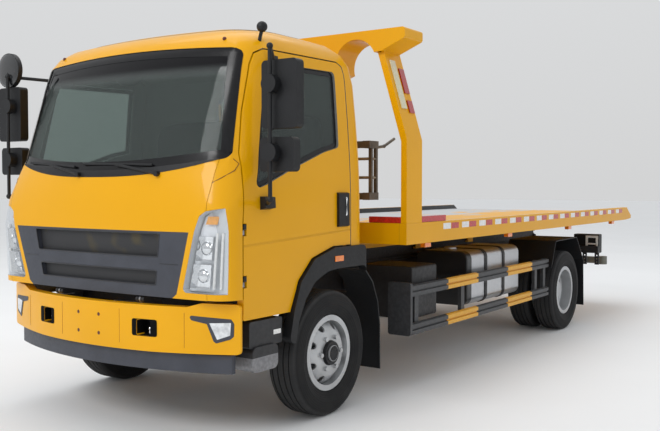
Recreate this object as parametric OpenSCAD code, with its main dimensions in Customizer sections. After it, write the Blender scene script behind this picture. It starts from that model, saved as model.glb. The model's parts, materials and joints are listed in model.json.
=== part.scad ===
// Flatbed tow truck: a forward-control cab on a ladder frame, a bed that tilts and slides back
// on a tilting frame, and a telescopic wheel lift under the tail.
// X points forward, Y to the left and Z up, in millimetres. Every piece is drawn from the front
// axle's line on the ground, and place() moves it so that the origin lies under mid length.

/* [Chassis] */
// Distance between the front and rear axles
wheelbase = 4200; // [4000:50:4500]
// Front axle to the front of the bumper
front_overhang = 1130; // [1125:1:1150]
// Rear axle to the tail edge of the bed
rear_overhang = 2270; // [2200:10:2400]
// Width over the frame rails
frame_w = 820; // [800:5:840]
// Height of the frame rails
rail_h = 200; // [180:5:210]

/* [Wheels] */
// Outer diameter of a tyre
tyre_d = 824; // [800:2:830]
// Width of a tyre
tyre_w = 235; // [225:1:240]
// Front track, between tyre centres
front_track = 1880; // [1860:5:1890]
// Rear track, between the middles of the twin wheels
rear_track = 1860; // [1850:5:1870]

/* [Cab] */
// Width of the cab
cab_w = 2080; // [2060:5:2100]
// Thickness of doors and cab walls
wall = 45; // [40:1:50]
// Gap around a door
door_gap = 9; // [8:0.5:11]

/* [Bed] */
// Width of the bed
bed_w = 2446; // [2420:2:2480]
// Height of a side rail of the bed
bed_rail_h = 153; // [140:1:165]
// Height of the gantry above the bed's rails
gantry_h = 1390; // [1340:5:1420]

/* [Wheel lift] */
// Length of the crossbar
crossbar_l = 1900; // [1700:10:2000]
// Radius of the socket at each end of the crossbar
socket_r = 22; // [18:1:24]

/* [Hidden] */
$fn = 48;
eps = 0.3;
seat_gap = 0.3;
slide_gap = 0.5;
front_axle_x = (wheelbase + rear_overhang - front_overhang) / 2;
axle_z = tyre_d / 2;
rear_x = -wheelbase;
tail_x = rear_x - rear_overhang;
cab_half = cab_w / 2;
cab_out = cab_half + 160;
yellow = [0.95, 0.66, 0.02];
black = [0.08, 0.08, 0.09];
slate = [0.27, 0.28, 0.32];
steel = [0.55, 0.56, 0.58];
glass = [0.25, 0.32, 0.34];
white = [0.92, 0.92, 0.88];
red = [0.72, 0.05, 0.06];

// Placing and drawing helpers
module place() translate([front_axle_x, 0, 0]) children();
module both() {
    children();
    mirror([0, 1, 0]) children();
}
module side(s) mirror([0, (1 - s) / 2, 0]) children();
module along_y(y0, y1) translate([0, y1, 0]) rotate([90, 0, 0]) linear_extrude(y1 - y0) children();
module along_x(x0, x1) translate([x0, 0, 0]) rotate([90, 0, 90]) linear_extrude(x1 - x0) children();
module box(x, y, z) translate([x[0], y[0], z[0]]) cube([x[1] - x[0], y[1] - y[0], z[1] - z[0]]);
module soft(r) offset(r = r) offset(delta = -r) children();
module rod_y(x, z, r, y0, y1) translate([x, y0, z]) rotate([-90, 0, 0]) cylinder(r = r, h = y1 - y0);
module rod_x(y, z, r, x0, x1) translate([x0, y, z]) rotate([0, 90, 0]) cylinder(r = r, h = x1 - x0);
module rod_z(x, y, r, z0, z1) translate([x, y, z0]) cylinder(r = r, h = z1 - z0);
module rod(p, q, r) {
    run = q - p;
    turn = [0, acos(run[2] / norm(run)), atan2(run[1], run[0])];
    translate(p) rotate(turn) cylinder(r = r, h = norm(run));
}
module knob(p, r) translate(p) sphere(r = r);
// A curved panel and its cut-outs as one closed shell
module one_shell() resize([0, 0, 0]) children();

// Frame
rail_y = frame_w / 2;
rail_flange = 70;
rail_t = 8;
frame_z = 860;
frame_low = frame_z - rail_h;
frame_front = 904;
frame_rear = rear_x - 1150;
pivot_x = rear_x - 1100;
pivot_z = frame_z + 45;
pivot_pin_r = 25;
pivot_lug_r = 40;
cab_pivot_x = 1035;
cab_pivot_z = 832;
cab_pin_r = 10;
cab_lug_r = 20;
cab_lug_y = [rail_y - 42, rail_y - 28];
cylinder_base = [rear_x + 800, frame_low + 60];
cylinder_eye = [rear_x + 1900, frame_z + 70];
cylinder_y = 230;
cylinder_pin_r = 22;
floor_z = 1000;
lift_x = rear_x - 800;
lift_z = 560;
lift_pin_r = 22;
lift_half = 80;

module rail_section() difference() {
    translate([rail_y - rail_flange, frame_low]) square([rail_flange, rail_h]);
    translate([rail_y - rail_flange - rail_t, frame_low + rail_t])
        square([rail_flange, rail_h - 2 * rail_t]);
}

web_y = rail_y - rail_t / 2;
module cross_member(x, z0, z1) box([x - 35, x + 35], [-web_y, web_y], [z0, z1]);

cross_xs = [800, -1250, rear_x + 2250, rear_x + 450, frame_rear + 60];
module chassis_frame() color(black) place() {
    both() along_x(frame_rear, frame_front) rail_section();
    for (x = cross_xs)
        cross_member(x, frame_z - 90, frame_z - 20);
    cross_member(630, frame_low, frame_low + 40);
    rod_y(cylinder_base[0], cylinder_base[1], cylinder_pin_r, -web_y, web_y);
    both() {
        cab_bracket();
        cab_rest();
        pivot_bracket();
        lift_bracket();
        rod_y(cab_pivot_x, cab_pivot_z, cab_pin_r, rail_y - 70, rail_y);
        for (spring = springs)
            for (end = [-1, 1])
                spring_hanger(spring, end);
    }
}

// Bracket at the front of a rail for the cab's tilt hinge
module cab_bracket() for (y = [[rail_y - 70, rail_y - 50], [rail_y - 20, rail_y]]) {
    box([frame_front - 60, cab_pivot_x], y, [cab_pivot_z - cab_lug_r, cab_pivot_z + cab_lug_r - 4]);
    rod_y(cab_pivot_x, cab_pivot_z, cab_lug_r, y[0], y[1]);
}

// Post under the rear of the cab
module cab_rest() box([-320, -240], [rail_y - 60, rail_y], [frame_z - 1, floor_z - seat_gap]);

// Plate for the bed's tilt hinge, inboard of the rail, with its pin
module pivot_bracket() {
    box([pivot_x - 35, pivot_x + 35], [rail_y - 110, rail_y - 80], [frame_low + 60, pivot_z]);
    rod_y(pivot_x, pivot_z, 35, rail_y - 110, rail_y - 80);
    rod_y(pivot_x, pivot_z, pivot_pin_r, rail_y - 110, rail_y);
    box([pivot_x - 35, pivot_x + 35], [rail_y - 111, web_y], [frame_low + 60, frame_low + 90]);
}

// Plate that carries the wheel lift
module lift_bracket() {
    box([lift_x - 40, lift_x + 120], [lift_half + 8, lift_half + 28], [lift_z, frame_low + 60]);
    rod_y(lift_x, lift_z, 40, lift_half + 8, lift_half + 28);
    rod_y(lift_x, lift_z, lift_pin_r, lift_half - 20, lift_half + 28);
    box([lift_x + 40, lift_x + 120], [0, web_y], [frame_low + 20, frame_low + 60]);
}

// Leaf springs, as [axle x, seat height, half length, rise of the ends, pack thickness, leaves]
SPRING_X = 0;
SPRING_SEAT = 1;
SPRING_HALF = 2;
SPRING_RISE = 3;
SPRING_LEAF = 4;
SPRING_COUNT = 5;
springs = [
    [0, axle_z + 48, 620, 95, 14, 3],
    [rear_x, axle_z + 72, 640, 80, 16, 4],
];
spring_y = [rail_y - 66, rail_y - 4];

function spring_radius(s) = (pow(s[SPRING_HALF], 2) + pow(s[SPRING_RISE], 2)) / (2 * s[SPRING_RISE]);
function spring_top(s) = s[SPRING_SEAT] + s[SPRING_LEAF] * s[SPRING_COUNT];
module leaf(s, k) {
    low = s[SPRING_SEAT] + s[SPRING_LEAF] * k;
    middle = [s[SPRING_X], low + spring_radius(s)];
    reach = s[SPRING_HALF] * (0.4 + 0.6 * (k + 1) / s[SPRING_COUNT]);
    difference() {
        intersection() {
            translate(middle) circle(r = spring_radius(s), $fn = 360);
            translate([s[SPRING_X] - reach, low - 1]) square([2 * reach, s[SPRING_RISE] + 40]);
        }
        translate(middle) circle(r = spring_radius(s) - s[SPRING_LEAF] - eps, $fn = 360);
    }
}
module leaf_springs() color(black) place() both() for (s = springs) along_y(spring_y[0], spring_y[1])
    for (k = [0 : s[SPRING_COUNT] - 1])
        leaf(s, k);

// Hanger between a spring's end and the rail
module spring_hanger(s, end) box(
    [s[SPRING_X] + end * (s[SPRING_HALF] - 25) - 22, s[SPRING_X] + end * (s[SPRING_HALF] - 25) + 22],
    spring_y,
    [spring_top(s) + s[SPRING_RISE] + seat_gap, frame_low + 1]
);

// Front axle and knuckles
kingpin_y = 815;
kingpin_r = 20;
knuckle_r = 36;
wheel_y = front_track / 2;
hub_bore_r = 34;
module i_section() {
    for (z = [-45, 30])
        translate([-38, axle_z + z]) square([76, 15]);
    translate([-10, axle_z - 45]) square([20, 80]);
}
module front_axle() color(black) place() difference() {
    union() {
        along_y(-kingpin_y + 20, kingpin_y - 20) i_section();
        both() {
            rod_z(0, kingpin_y, knuckle_r, axle_z - 45, axle_z + 45);
            box([-60, 60], spring_y, [axle_z + 40, axle_z + 48 - seat_gap]);
        }
    }
    both() rod_z(0, kingpin_y, kingpin_r + 0.1, axle_z - 100, axle_z + 100);
}
module knuckle() {
    for (z = [[-85, -51], [51, 85]])
        rod_z(0, kingpin_y, knuckle_r, axle_z + z[0], axle_z + z[1]);
    rod_z(0, kingpin_y, kingpin_r, axle_z - 85, axle_z + 85);
    difference() {
        box([-35, 35], [kingpin_y, kingpin_y + 62], [axle_z - 85, axle_z + 85]);
        box([-40, 40], [kingpin_y - 50, kingpin_y + 42], [axle_z - 51, axle_z + 51]);
    }
    rod_y(0, axle_z, hub_bore_r - 0.1, kingpin_y + 60, wheel_y + 80);
}
module knuckle_left() color(steel) place() knuckle();
module knuckle_right() color(steel) place() side(-1) knuckle();

// Wheels: a rim is a turned profile of [radius, distance along the axle outward]
bead_r = 225;
flange_r = 249;
rim_half = 92;
rim_t = 12;
bead_gap = 9.3;
hub_r = 78;
drum_r = 168;
hand_holes = 8;
hand_hole_r = 24;
dish_out = 86;
twin_gap = 275;
nave_r = 52;
nuts = 6;
nut_pitch_r = 112;

module turned() rotate([-90, 0, 0]) rotate_extrude($fn = 96) children();
module rim_profile(dish) {
    way = sign(dish);
    translate([bead_r - rim_t, -rim_half + 9]) square([rim_t - eps, 2 * rim_half - 18]);
    for (s = [-1, 1])
        translate([bead_r - rim_t, s * (rim_half - 4.5) - 4.5]) square([flange_r - bead_r + rim_t, 9]);
    polygon([[bead_r - rim_t + 1, dish * 0.15], [bead_r - rim_t + 1, dish * 0.15 + 14 * way],
        [196, dish * 0.52 + 12 * way], [160, dish * 0.92 + 10 * way], [142, dish + 10 * way],
        [hub_r - 4, dish + 10 * way], [hub_r - 4, dish], [142, dish], [163, dish * 0.88],
        [198, dish * 0.48]]);
}
module rim(dish) difference() {
    turned() rim_profile(dish);
    for (k = [0 : hand_holes - 1])
        rotate([0, (k + 0.5) * 360 / hand_holes, 0])
            rod_y(180, 0, hand_hole_r, -rim_half - 20, rim_half + 20);
}
module nut_ring(y0, y1) for (k = [0 : nuts - 1])
    rotate([0, k * 360 / nuts, 0]) rod_y(nut_pitch_r, 0, 15, y0, y1);

module front_wheel() translate([0, wheel_y, axle_z]) difference() {
    union() {
        rim(dish_out);
        rod_y(0, 0, hub_r, -55, dish_out + 10);
        rod_y(0, 0, drum_r, -58, 5);
        rod_y(0, 0, nave_r, dish_out + 9, dish_out + 44);
        nut_ring(dish_out + 9, dish_out + 30);
    }
    rod_y(0, 0, hub_bore_r, -70, 82);
}
module front_wheel_left() color(steel) place() front_wheel();
module front_wheel_right() color(steel) place() side(-1) front_wheel();

function twin_y(k) = rear_track / 2 + (k - 0.5) * twin_gap;
module rear_wheel_pair() translate([rear_x, 0, axle_z]) difference() {
    union() {
        translate([0, twin_y(0), 0]) rim(dish_out);
        translate([0, twin_y(1), 0]) rim(-dish_out);
        rod_y(0, 0, drum_r, twin_y(0) - 60, twin_y(0) + dish_out - 1);
        rod_y(0, 0, hub_r, twin_y(0) + dish_out - 2, twin_y(1) + 25);
        rod_y(0, 0, 142, twin_y(0) + dish_out + 9, twin_y(1) - dish_out - 9);
        translate([0, twin_y(1) - dish_out, 0]) nut_ring(-1, 24);
    }
    rod_y(0, 0, hub_bore_r + 14, twin_y(0) - 70, twin_y(1) - 60);
}
module rear_wheels_left() color(steel) place() rear_wheel_pair();
module rear_wheels_right() color(steel) place() side(-1) rear_wheel_pair();

// Tyres, with the ribs of a road tread
tread_grooves = [-66, -24, 24, 66];
groove_w = 9;
groove_h = 11;
module tyre_profile() {
    r = tyre_d / 2;
    w = tyre_w / 2;
    wide_r = (r + bead_r) / 2;
    difference() {
        soft(16) polygon([[bead_r, -rim_half + bead_gap], [flange_r + 2, -rim_half + bead_gap],
            [flange_r + 8, -rim_half - 5], [wide_r, -w], [r - 34, -w + 7], [r - 6, -w + 22], [r, -w + 42],
            [r, w - 42], [r - 6, w - 22], [r - 34, w - 7], [wide_r, w], [flange_r + 8, rim_half + 5],
            [flange_r + 2, rim_half - bead_gap], [bead_r, rim_half - bead_gap]]);
        for (y = tread_grooves)
            translate([r - groove_h, y - groove_w / 2]) square([groove_h + 5, groove_w]);
    }
}
module tyre() turned() tyre_profile();
module front_tyre_left() color(black) place() translate([0, wheel_y, axle_z]) tyre();
module front_tyre_right() color(black) place() translate([0, -wheel_y, axle_z]) tyre();
module rear_tyre_pair(s) for (k = [0, 1])
    translate([rear_x, s * twin_y(k), axle_z]) tyre();
module rear_tyres_left() color(black) place() rear_tyre_pair(1);
module rear_tyres_right() color(black) place() rear_tyre_pair(-1);

// Rear axle: tube, differential and spring seats
module rear_axle() color(black) place() translate([rear_x, 0, axle_z]) {
    rod_y(0, 0, 64, -twin_y(0) + 66, twin_y(0) - 66);
    rod_y(0, 0, hub_bore_r + 13.9, -twin_y(1) + 70, twin_y(1) - 70);
    turned() intersection() {
        circle(r = 185);
        translate([0, -140]) square([200, 280]);
    }
    rod_x(0, 0, 75, 100, 260);
    both() translate([-70, spring_y[0], 20]) cube([140, spring_y[1] - spring_y[0], 52 - seat_gap]);
}

// Engine, gearbox and shaft
engine_x = [-500, 550];
engine_y = 290;
engine_z = [560, 985];
module engine_block() color(slate) place() {
    box(engine_x, [-engine_y, engine_y], [frame_low + 30, engine_z[1]]);
    box([engine_x[0] + 120, engine_x[1] - 160], [-190, 190], [engine_z[0], frame_low + 31]);
    both() box([-60, 60], [engine_y - 1, rail_y - rail_t - seat_gap], [frame_low + 40, frame_low + 110]);
}
module driveline() color(steel) place() {
    hull() {
        box([engine_x[0] - 60 - seat_gap, engine_x[0] - seat_gap], [-240, 240],
            [frame_low - 60, frame_z - 40]);
        box([engine_x[0] - 620, engine_x[0] - 560], [-110, 110], [frame_low - 60, frame_low + 130]);
    }
    rod([engine_x[0] - 615, 0, frame_low + 30], [rear_x + 266, 0, axle_z + 3], 42);
}
module radiator() color(black) place() {
    box([598, 662], [-300, 300], [frame_low + 40 + seat_gap, 960]);
    box([590, 670], [-310, 310], [920, 985]);
}

// Tank, boxes and guards along the sides
tank_x = [rear_x + 1000, 0.488 * rear_x];
tank_y = [560, 1050];
tank_z = [480, 945];
tank_straps_x = [for (f = [0.33, 0.67]) tank_x[0] + f * (tank_x[1] - tank_x[0])];
module tank_outline(grow) offset(r = grow) soft(70)
    translate([tank_y[0], tank_z[0]]) square([tank_y[1] - tank_y[0], tank_z[1] - tank_z[0]]);
module fuel_tank() color([0.75, 0.77, 0.79]) place() {
    along_x(tank_x[0], tank_x[1]) tank_outline(0);
    rod_z(tank_x[1] - 180, 800, 55, tank_z[1] - 1, tank_z[1] + 30);
}
module tank_straps() color(black) place() for (x = tank_straps_x) {
    along_x(x - 25, x + 25) difference() {
        tank_outline(6);
        tank_outline(seat_gap);
    }
    box([x - 25, x + 25], [rail_y + seat_gap, tank_y[0] - 3], [frame_low - 60, frame_low + 120]);
}
// Battery box on the left and hydraulic tank on the right
BOX_SIDE = 0;
BOX_X = 1;
BOX_Y = 2;
BOX_Z = 3;
// [side, from and to along X, inner y, from and to in height]
side_box_table = [
    [1, [-1420, -1020], 620, [500, 900]],
    [-1, [tank_x[1] + 350, -1020], 600, [480, 930]],
];
side_box_out = 1085;
module side_boxes() color(black) place() for (b = side_box_table) side(b[BOX_SIDE]) {
    along_x(b[BOX_X][0], b[BOX_X][1]) soft(25) translate([b[BOX_Y], b[BOX_Z][0]])
        square([side_box_out - b[BOX_Y], b[BOX_Z][1] - b[BOX_Z][0]]);
    for (x = [b[BOX_X][0] + 60, b[BOX_X][1] - 110])
        box([x, x + 50], [rail_y + seat_gap, b[BOX_Y] + 1], [frame_low + 20, frame_low + 90]);
}
guard_x = [rear_x + 490, -890];
guard_y = 1130;
guard_rails_z = [405, 690];
guard_rail_h = 88;
guard_arms = [tank_x[1] + 250, rear_x + 760];
guard_posts = concat([guard_x[1] - 120, rear_x + 530], guard_arms);
module guard_rail_section(z) {
    translate([guard_y, z]) square([18, guard_rail_h]);
    for (k = [0, 1])
        translate([guard_y + 17, z + 6 + k * (guard_rail_h - 42)]) square([16, 30]);
}
module side_guards() color(black) place() both() {
    for (z = guard_rails_z)
        along_x(guard_x[0], guard_x[1]) guard_rail_section(z);
    for (x = guard_posts)
        box([x - 30, x + 30], [guard_y - 30, guard_y + 1],
            [guard_rails_z[0], guard_rails_z[1] + guard_rail_h]);
    for (x = guard_arms)
        box([x - 25, x + 25], [rail_y + seat_gap, guard_y - 28], [frame_low + 20, frame_low + 70]);
    along_x(guard_x[1] - 1, guard_x[1] + 30) soft(20)
        translate([guard_y - 160, guard_rails_z[0]])
            square([193, guard_rails_z[1] + guard_rail_h + 20 - guard_rails_z[0]]);
}

// Bumper: a bowed band, raised under the headlamps
bumper_sweep = 226.6;
bumper_r = (pow(cab_half, 2) + pow(bumper_sweep, 2)) / (2 * bumper_sweep);
bumper_t = 60;
bumper_z = [534, 807];
bumper_rise = 28;
bumper_step = [cab_half - 310, cab_half - 220];
bumper_door_gap = 14;
tow_hole = [rail_y + 34, 673];
plate_y = 92.5;
plate_z = [613, 728];
plate_hole_r = 5;
module bumper_arc(inset) translate([front_overhang - bumper_r, 0]) circle(r = bumper_r - inset, $fn = 720);
module bumper_band(inset, t, z0, z1) translate([0, 0, z0]) linear_extrude(z1 - z0) intersection() {
    difference() {
        bumper_arc(inset);
        bumper_arc(inset + t);
    }
    translate([600, -cab_half]) square([800, cab_w]);
}
module bumper_outline() soft(26) polygon([
    [-cab_half, bumper_z[0] + 10], [-500, bumper_z[0]], [500, bumper_z[0]], [cab_half, bumper_z[0] + 10],
    [cab_half, bumper_z[1] + bumper_rise - 4], [bumper_step[1], bumper_z[1] + bumper_rise],
    [bumper_step[0], bumper_z[1] + 2], [-bumper_step[0], bumper_z[1] + 2],
    [-bumper_step[1], bumper_z[1] + bumper_rise], [-cab_half, bumper_z[1] + bumper_rise - 4]]);
module bumper_end_cut() box([700, door_front + bumper_door_gap], [cab_half - 140, cab_out], [500, 900]);
module fog_outline() soft(10) translate([cab_half, 0]) polygon([[-298, 762], [-50, 748], [-34, 722],
    [-36, 650], [-55, 632], [-135, 606], [-150, 618], [-188, 716], [-280, 734]]);
module bumper() color(yellow) place() difference() {
    union() {
        intersection() {
            bumper_band(0, bumper_t, bumper_z[0] - 20, bumper_z[1] + 80);
            along_x(600, front_overhang + 20) bumper_outline();
        }
        both() box([frame_front + seat_gap, front_overhang - bumper_t - 12], [rail_y - 66, rail_y - 6],
            [frame_low + 10, frame_low + 110]);
    }
    both() {
        along_x(700, front_overhang + 20) soft(14)
            translate([tow_hole[0] - 50, tow_hole[1] - 48]) square([100, 96]);
        intersection() {
            along_x(700, front_overhang + 20) fog_outline();
            bumper_band(-20, 20 + 0.6 * bumper_t, 500, 850);
        }
    }
    for (y = [-plate_y, plate_y], z = plate_z)
        rod_x(y, z, plate_hole_r, front_overhang - 90, front_overhang + 20);
    both() bumper_end_cut();
}
module bumper_valance() color(slate) place() difference() {
    bumper_band(34, 30, 420, bumper_z[0] - seat_gap);
    both() box([600, 1400], [cab_half - 70, cab_out], [400, 600]);
}
module fog_lamps() color(white) place() both() difference() {
    intersection() {
        along_x(700, front_overhang) offset(delta = -seat_gap) fog_outline();
        bumper_band(-2, 0.6 * bumper_t + 2 - seat_gap, 500, 850);
    }
    bumper_end_cut();
}

// Steps under the doors and sheet guards behind the front wheels
step_x = [505, 815];
module entry_steps() color(black) place() both() {
    along_y(cab_half - 155, cab_half - 10) soft(15)
        translate([step_x[0], 560]) square([step_x[1] - step_x[0], 158]);
    along_y(cab_half - 135, cab_half + 6) soft(40)
        translate([step_x[0] + 60, 418]) square([step_x[1] - step_x[0] - 70, 150]);
    box([600, 680], [rail_y + seat_gap, cab_half - 150], [frame_low, frame_low + 50]);
}
function toward(p, c, t) = p + (c - p) * t / norm(c - p);
module guard_sheet(points, centre, t) polygon(concat(points,
    [for (k = [len(points) - 1 : -1 : 0]) toward(points[k], centre, t)]));
front_guard = [[-425, 930], [-520, 838], [-590, 690], [-618, 520], [-622, 196]];
module front_mudguards() color(black) place() both() {
    along_y(cab_half - 240, cab_half + 10) guard_sheet(front_guard, [0, axle_z], 12);
    box([-640, -578], [rail_y + seat_gap, cab_half - 180], [frame_low + 30, frame_low + 75]);
}
fender_arch = [[470, 690], [345, 950], [-300, 958], [-530, 700], [-552, 190]];
module rear_fenders() color(black) place() both() {
    translate([rear_x, 0, 0])
        along_y(rear_track / 2 - 250, rear_track / 2 + 255) guard_sheet(fender_arch, [0, axle_z], 10);
    for (x = [rear_x + 395, rear_x - 412])
        box([x - 25, x + 25], [rail_y + seat_gap, rear_track / 2 - 210], [frame_z - 50, frame_z - 10]);
}

// Carrier of the rear lamps, with drilled hangers
carrier_x = frame_rear - 230;
lamp_y = [790, 1095];
hanger_ys = [930, 1075];
module rear_carrier() color(black) place() {
    box([carrier_x, carrier_x + 55], [-1100, 1100], [frame_low + 50, frame_low + 130]);
    both() {
        box([carrier_x + 54, frame_rear - seat_gap], [rail_y - 66, rail_y - 6],
            [frame_low + 50, frame_low + 130]);
        for (y = hanger_ys)
            difference() {
                box([carrier_x + 5, carrier_x + 20], [y - 25, y + 25], [570, frame_low + 52]);
                for (z = [600, 640, 680])
                    rod_x(y, z, 9, carrier_x, carrier_x + 30);
            }
    }
}
module rear_lamps() color(red) place() both()
    along_x(carrier_x - 110, carrier_x - seat_gap) soft(12)
        translate([lamp_y[0], 705]) square([lamp_y[1] - lamp_y[0], 225]);

// Cab form: level sections of the outside, from the sill to the roof
CAB_Z = 0;
CAB_FRONT = 1;
CAB_CROWN = 2;
CAB_TUCK = 3;
CAB_CORNER = 4;
CAB_REAR = 5;
CAB_LID = 6;
// [height, front at the middle, sweep back at the side, tuck of the side, corner radius, rear,
// share of the roof's inset]
cab_sections = [
    [735, 1060, 48, 4, 110, -400, 1],
    [860, 1072, 52, 0, 120, -400, 0],
    [1250, 1098, 58, 0, 130, -400, 0],
    [1420, 1092, 80, 1, 150, -400, 0],
    [1590, 1068, 130, 5, 185, -400, 0],
    [1700, 1033, 150, 10, 200, -400, 0],
    [1950, 948, 140, 28, 180, -400, 0],
    [2200, 862, 125, 50, 160, -398, 0],
    [2330, 812, 115, 68, 150, -375, 0.3],
    [2400, 765, 110, 95, 170, -330, 0.7],
    [2455, 690, 105, 150, 200, -250, 1],
    [2490, 590, 95, 250, 230, -130, 1],
    [2512, 420, 80, 480, 250, 20, 1],
];
front_steps = 7;
corner_steps = 5;

function half_at(s, t) = cab_half - s[CAB_TUCK] - t;
function corner_drop(y, half, r) = let(u = max(0, (abs(y) - half + r) / r))
    r * (1 - sqrt(max(0, 1 - u * u)));
function front_x(s, t, y) = s[CAB_FRONT] - t - s[CAB_CROWN] * pow(y / half_at(s, t), 2)
    - corner_drop(y, half_at(s, t), s[CAB_CORNER]);
function front_ys(half, r) = let(flat = half - r) concat(
    [for (k = [corner_steps : -1 : 1]) -flat - r * sin(90 * k / corner_steps)],
    [for (k = [-front_steps : front_steps]) flat * k / front_steps],
    [for (k = [1 : corner_steps]) flat + r * sin(90 * k / corner_steps)]);
function rear_r(s) = 60 + 0.4 * s[CAB_TUCK];
function rear_corner(s, t, side) = [for (k = [0 : corner_steps])
    let(a = 90 + 90 * (side > 0 ? k : corner_steps + k) / corner_steps)
    [s[CAB_REAR] + t + rear_r(s) * (1 + cos(a)), side * (half_at(s, t) - rear_r(s)) + rear_r(s) * sin(a)]];
function outline(s, t) = concat(
    [for (y = front_ys(half_at(s, t), s[CAB_CORNER])) [front_x(s, t, y), y]],
    rear_corner(s, t, 1), rear_corner(s, t, -1));
function below(z) = max([for (j = [0 : len(cab_sections) - 2]) cab_sections[j][CAB_Z] <= z ? j : 0]);
function section_at(z) = let(a = cab_sections[below(z)], b = cab_sections[below(z) + 1])
    a + (b - a) * (z - a[CAB_Z]) / (b[CAB_Z] - a[CAB_Z]);
function cab_side_y(z) = half_at(section_at(z), 0);
function cab_front_at(y, z) = front_x(section_at(z), 0, y);

module cab_form(t) {
    rings = [for (s = cab_sections) [for (p = outline(s, t)) [p[0], p[1], s[CAB_Z] - s[CAB_LID] * t]]];
    n = len(rings[0]);
    top = len(rings) - 1;
    polyhedron([for (ring = rings) for (p = ring) p], concat(
        [[for (j = [0 : n - 1]) j]],
        [[for (j = [n - 1 : -1 : 0]) top * n + j]],
        [for (i = [0 : top - 1]) for (j = [0 : n - 1])
            [i * n + j, (i + 1) * n + j, (i + 1) * n + (j + 1) % n]],
        [for (i = [0 : top - 1]) for (j = [0 : n - 1])
            [i * n + j, (i + 1) * n + (j + 1) % n, i * n + (j + 1) % n]]));
}
module cab_skin(t) difference() {
    cab_form(0);
    cab_form(t);
}

// Outlines of the openings, seen from the side or the front
screen_half = [cab_half - 85, cab_half - 178];
screen_low = [1602, 70];
screen_top = [2364, 28];
function screen_base(y) = screen_low[0] + screen_low[1] * pow(y / screen_half[0], 2);
module screen_outline() soft(45) polygon(concat(
    [for (k = [-6 : 6]) [screen_half[0] * k / 6, screen_base(screen_half[0] * k / 6)]],
    [for (k = [6 : -1 : -6]) [screen_half[1] * k / 6, screen_top[0] - screen_top[1] * pow(k / 6, 2)]]));
rear_window = [[-250, 250], [1895, 2180]];
module rear_window_outline() soft(40) translate([rear_window[0][0], rear_window[1][0]])
    square([rear_window[0][1] - rear_window[0][0], rear_window[1][1] - rear_window[1][0]]);
door_front = 875;
door_rear = -240;
door_low = 735;
module door_outline() soft(14) polygon([[door_front, door_low], [door_front, 1300], [858, 1500],
    [830, 1700], [775, 1950], [690, 2230], [655, 2300], [600, 2328], [-170, 2338],
    [door_rear + 18, 2312], [door_rear, 2260], [door_rear, door_low]]);
module door_window_outline() soft(32) polygon([[762, 1489], [651, 1521], [400, 1615], [56, 1729],
    [-119, 1767], [-129, 2270], [596, 2254], [640, 2100]]);
module arch_outline() soft(40) polygon([[470, 540], [422, 734], [347, 915], [203, 1044], [-32, 1106],
    [-410, 1106], [-410, 540]]);
module arch_mouth() soft(40) polygon([[415, 500], [372, 670], [300, 800], [200, 900], [60, 955], [-60, 965],
    [-410, 965], [-410, 500]]);
module through_door() along_y(cab_half - 240, cab_half + 60) children();
flap_half = cab_half - 140;
grille_top = [cab_half - 250, 1246];
grille_low = [cab_half - 368, 858];
module flap_outline() polygon(concat([[flap_half, 800], [-flap_half, 800]],
    [for (k = [-6 : 6]) [flap_half * k / 6, screen_base(flap_half * k / 6) - 1]]));
module grille_outline() polygon([[-grille_top[0], grille_top[1]], [-grille_low[0] - 8, grille_low[1] + 26],
    [-grille_low[0] + 26, grille_low[1]], [grille_low[0] - 26, grille_low[1]],
    [grille_low[0] + 8, grille_low[1] + 26], [grille_top[0], grille_top[1]]]);
lamp_front = 980;
module lamp_outline() soft(24) translate([cab_half, 0])
    polygon([[-316, 897], [-182, 1340], [-140, 1368], [40, 1398], [40, 897]]);
module lamp_block(grow) intersection() {
    along_x(700, 1200) offset(delta = grow) lamp_outline();
    box([lamp_front - grow, 1300], [cab_half - 440, cab_out], [800, 1500]);
}
floor_t = 30;
// Strips of the floor, as [from and to along X, inset from the side]
floor_table = [[[-500, 872], 54], [[865, 895], 70], [[890, 930], 110]];
corner_low = 860;
firewall_x = [850, 872];

module cab_shell() color(yellow) place() one_shell() {
    difference() {
        cab_skin(wall);
        both() {
            through_door() offset(delta = door_gap) door_outline();
            lamp_block(1);
        }
        along_x(600, 1300) offset(delta = 3) flap_outline();
        along_x(500, 1300) screen_outline();
        along_x(-600, -200) rear_window_outline();
        box([-600, 800], [-cab_out, cab_out], [600, floor_z]);
        box([800, 1300], [-cab_out, cab_out], [600, corner_low]);
        both() box([-600, -200], [cab_half - 140, cab_out], [900, 1106 + seat_gap]);
    }
    intersection() {
        cab_form(wall - 5);
        union() {
            for (f = floor_table)
                box(f[0], [-cab_half + f[1], cab_half - f[1]], [floor_z, floor_z + floor_t]);
            both() box([892, 930], [cab_half - 140, cab_half - 30], [floor_z, floor_z + 120]);
            box(firewall_x, [-cab_half + 102, cab_half - 102], [floor_z + 5, 1560]);
        }
    }
}
module front_panel() color(yellow) place() one_shell() difference() {
    intersection() {
        cab_skin(wall);
        along_x(900, 1300) flap_outline();
    }
    along_x(600, 1300) offset(delta = 0.5) grille_outline();
    both() lamp_block(1);
    box([600, 1300], [-cab_out, cab_out], [600, grille_low[1]]);
}
grille_t = 60;
upper_mouth = [[grille_top[0] - 220, 1232], [grille_top[0] - 242, 1098]];
lower_mouth = [[grille_top[0] - 255, 1012], [grille_top[0] - 270, 930]];
slat_pitch = 54;
slat_count = floor(lower_mouth[0][0] / slat_pitch);
slat_half = 5;
bar_pitch = 45;
module mouth(m) polygon([[-m[0][0], m[0][1]], [-m[1][0], m[1][1]], m[1], m[0]]);
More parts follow.
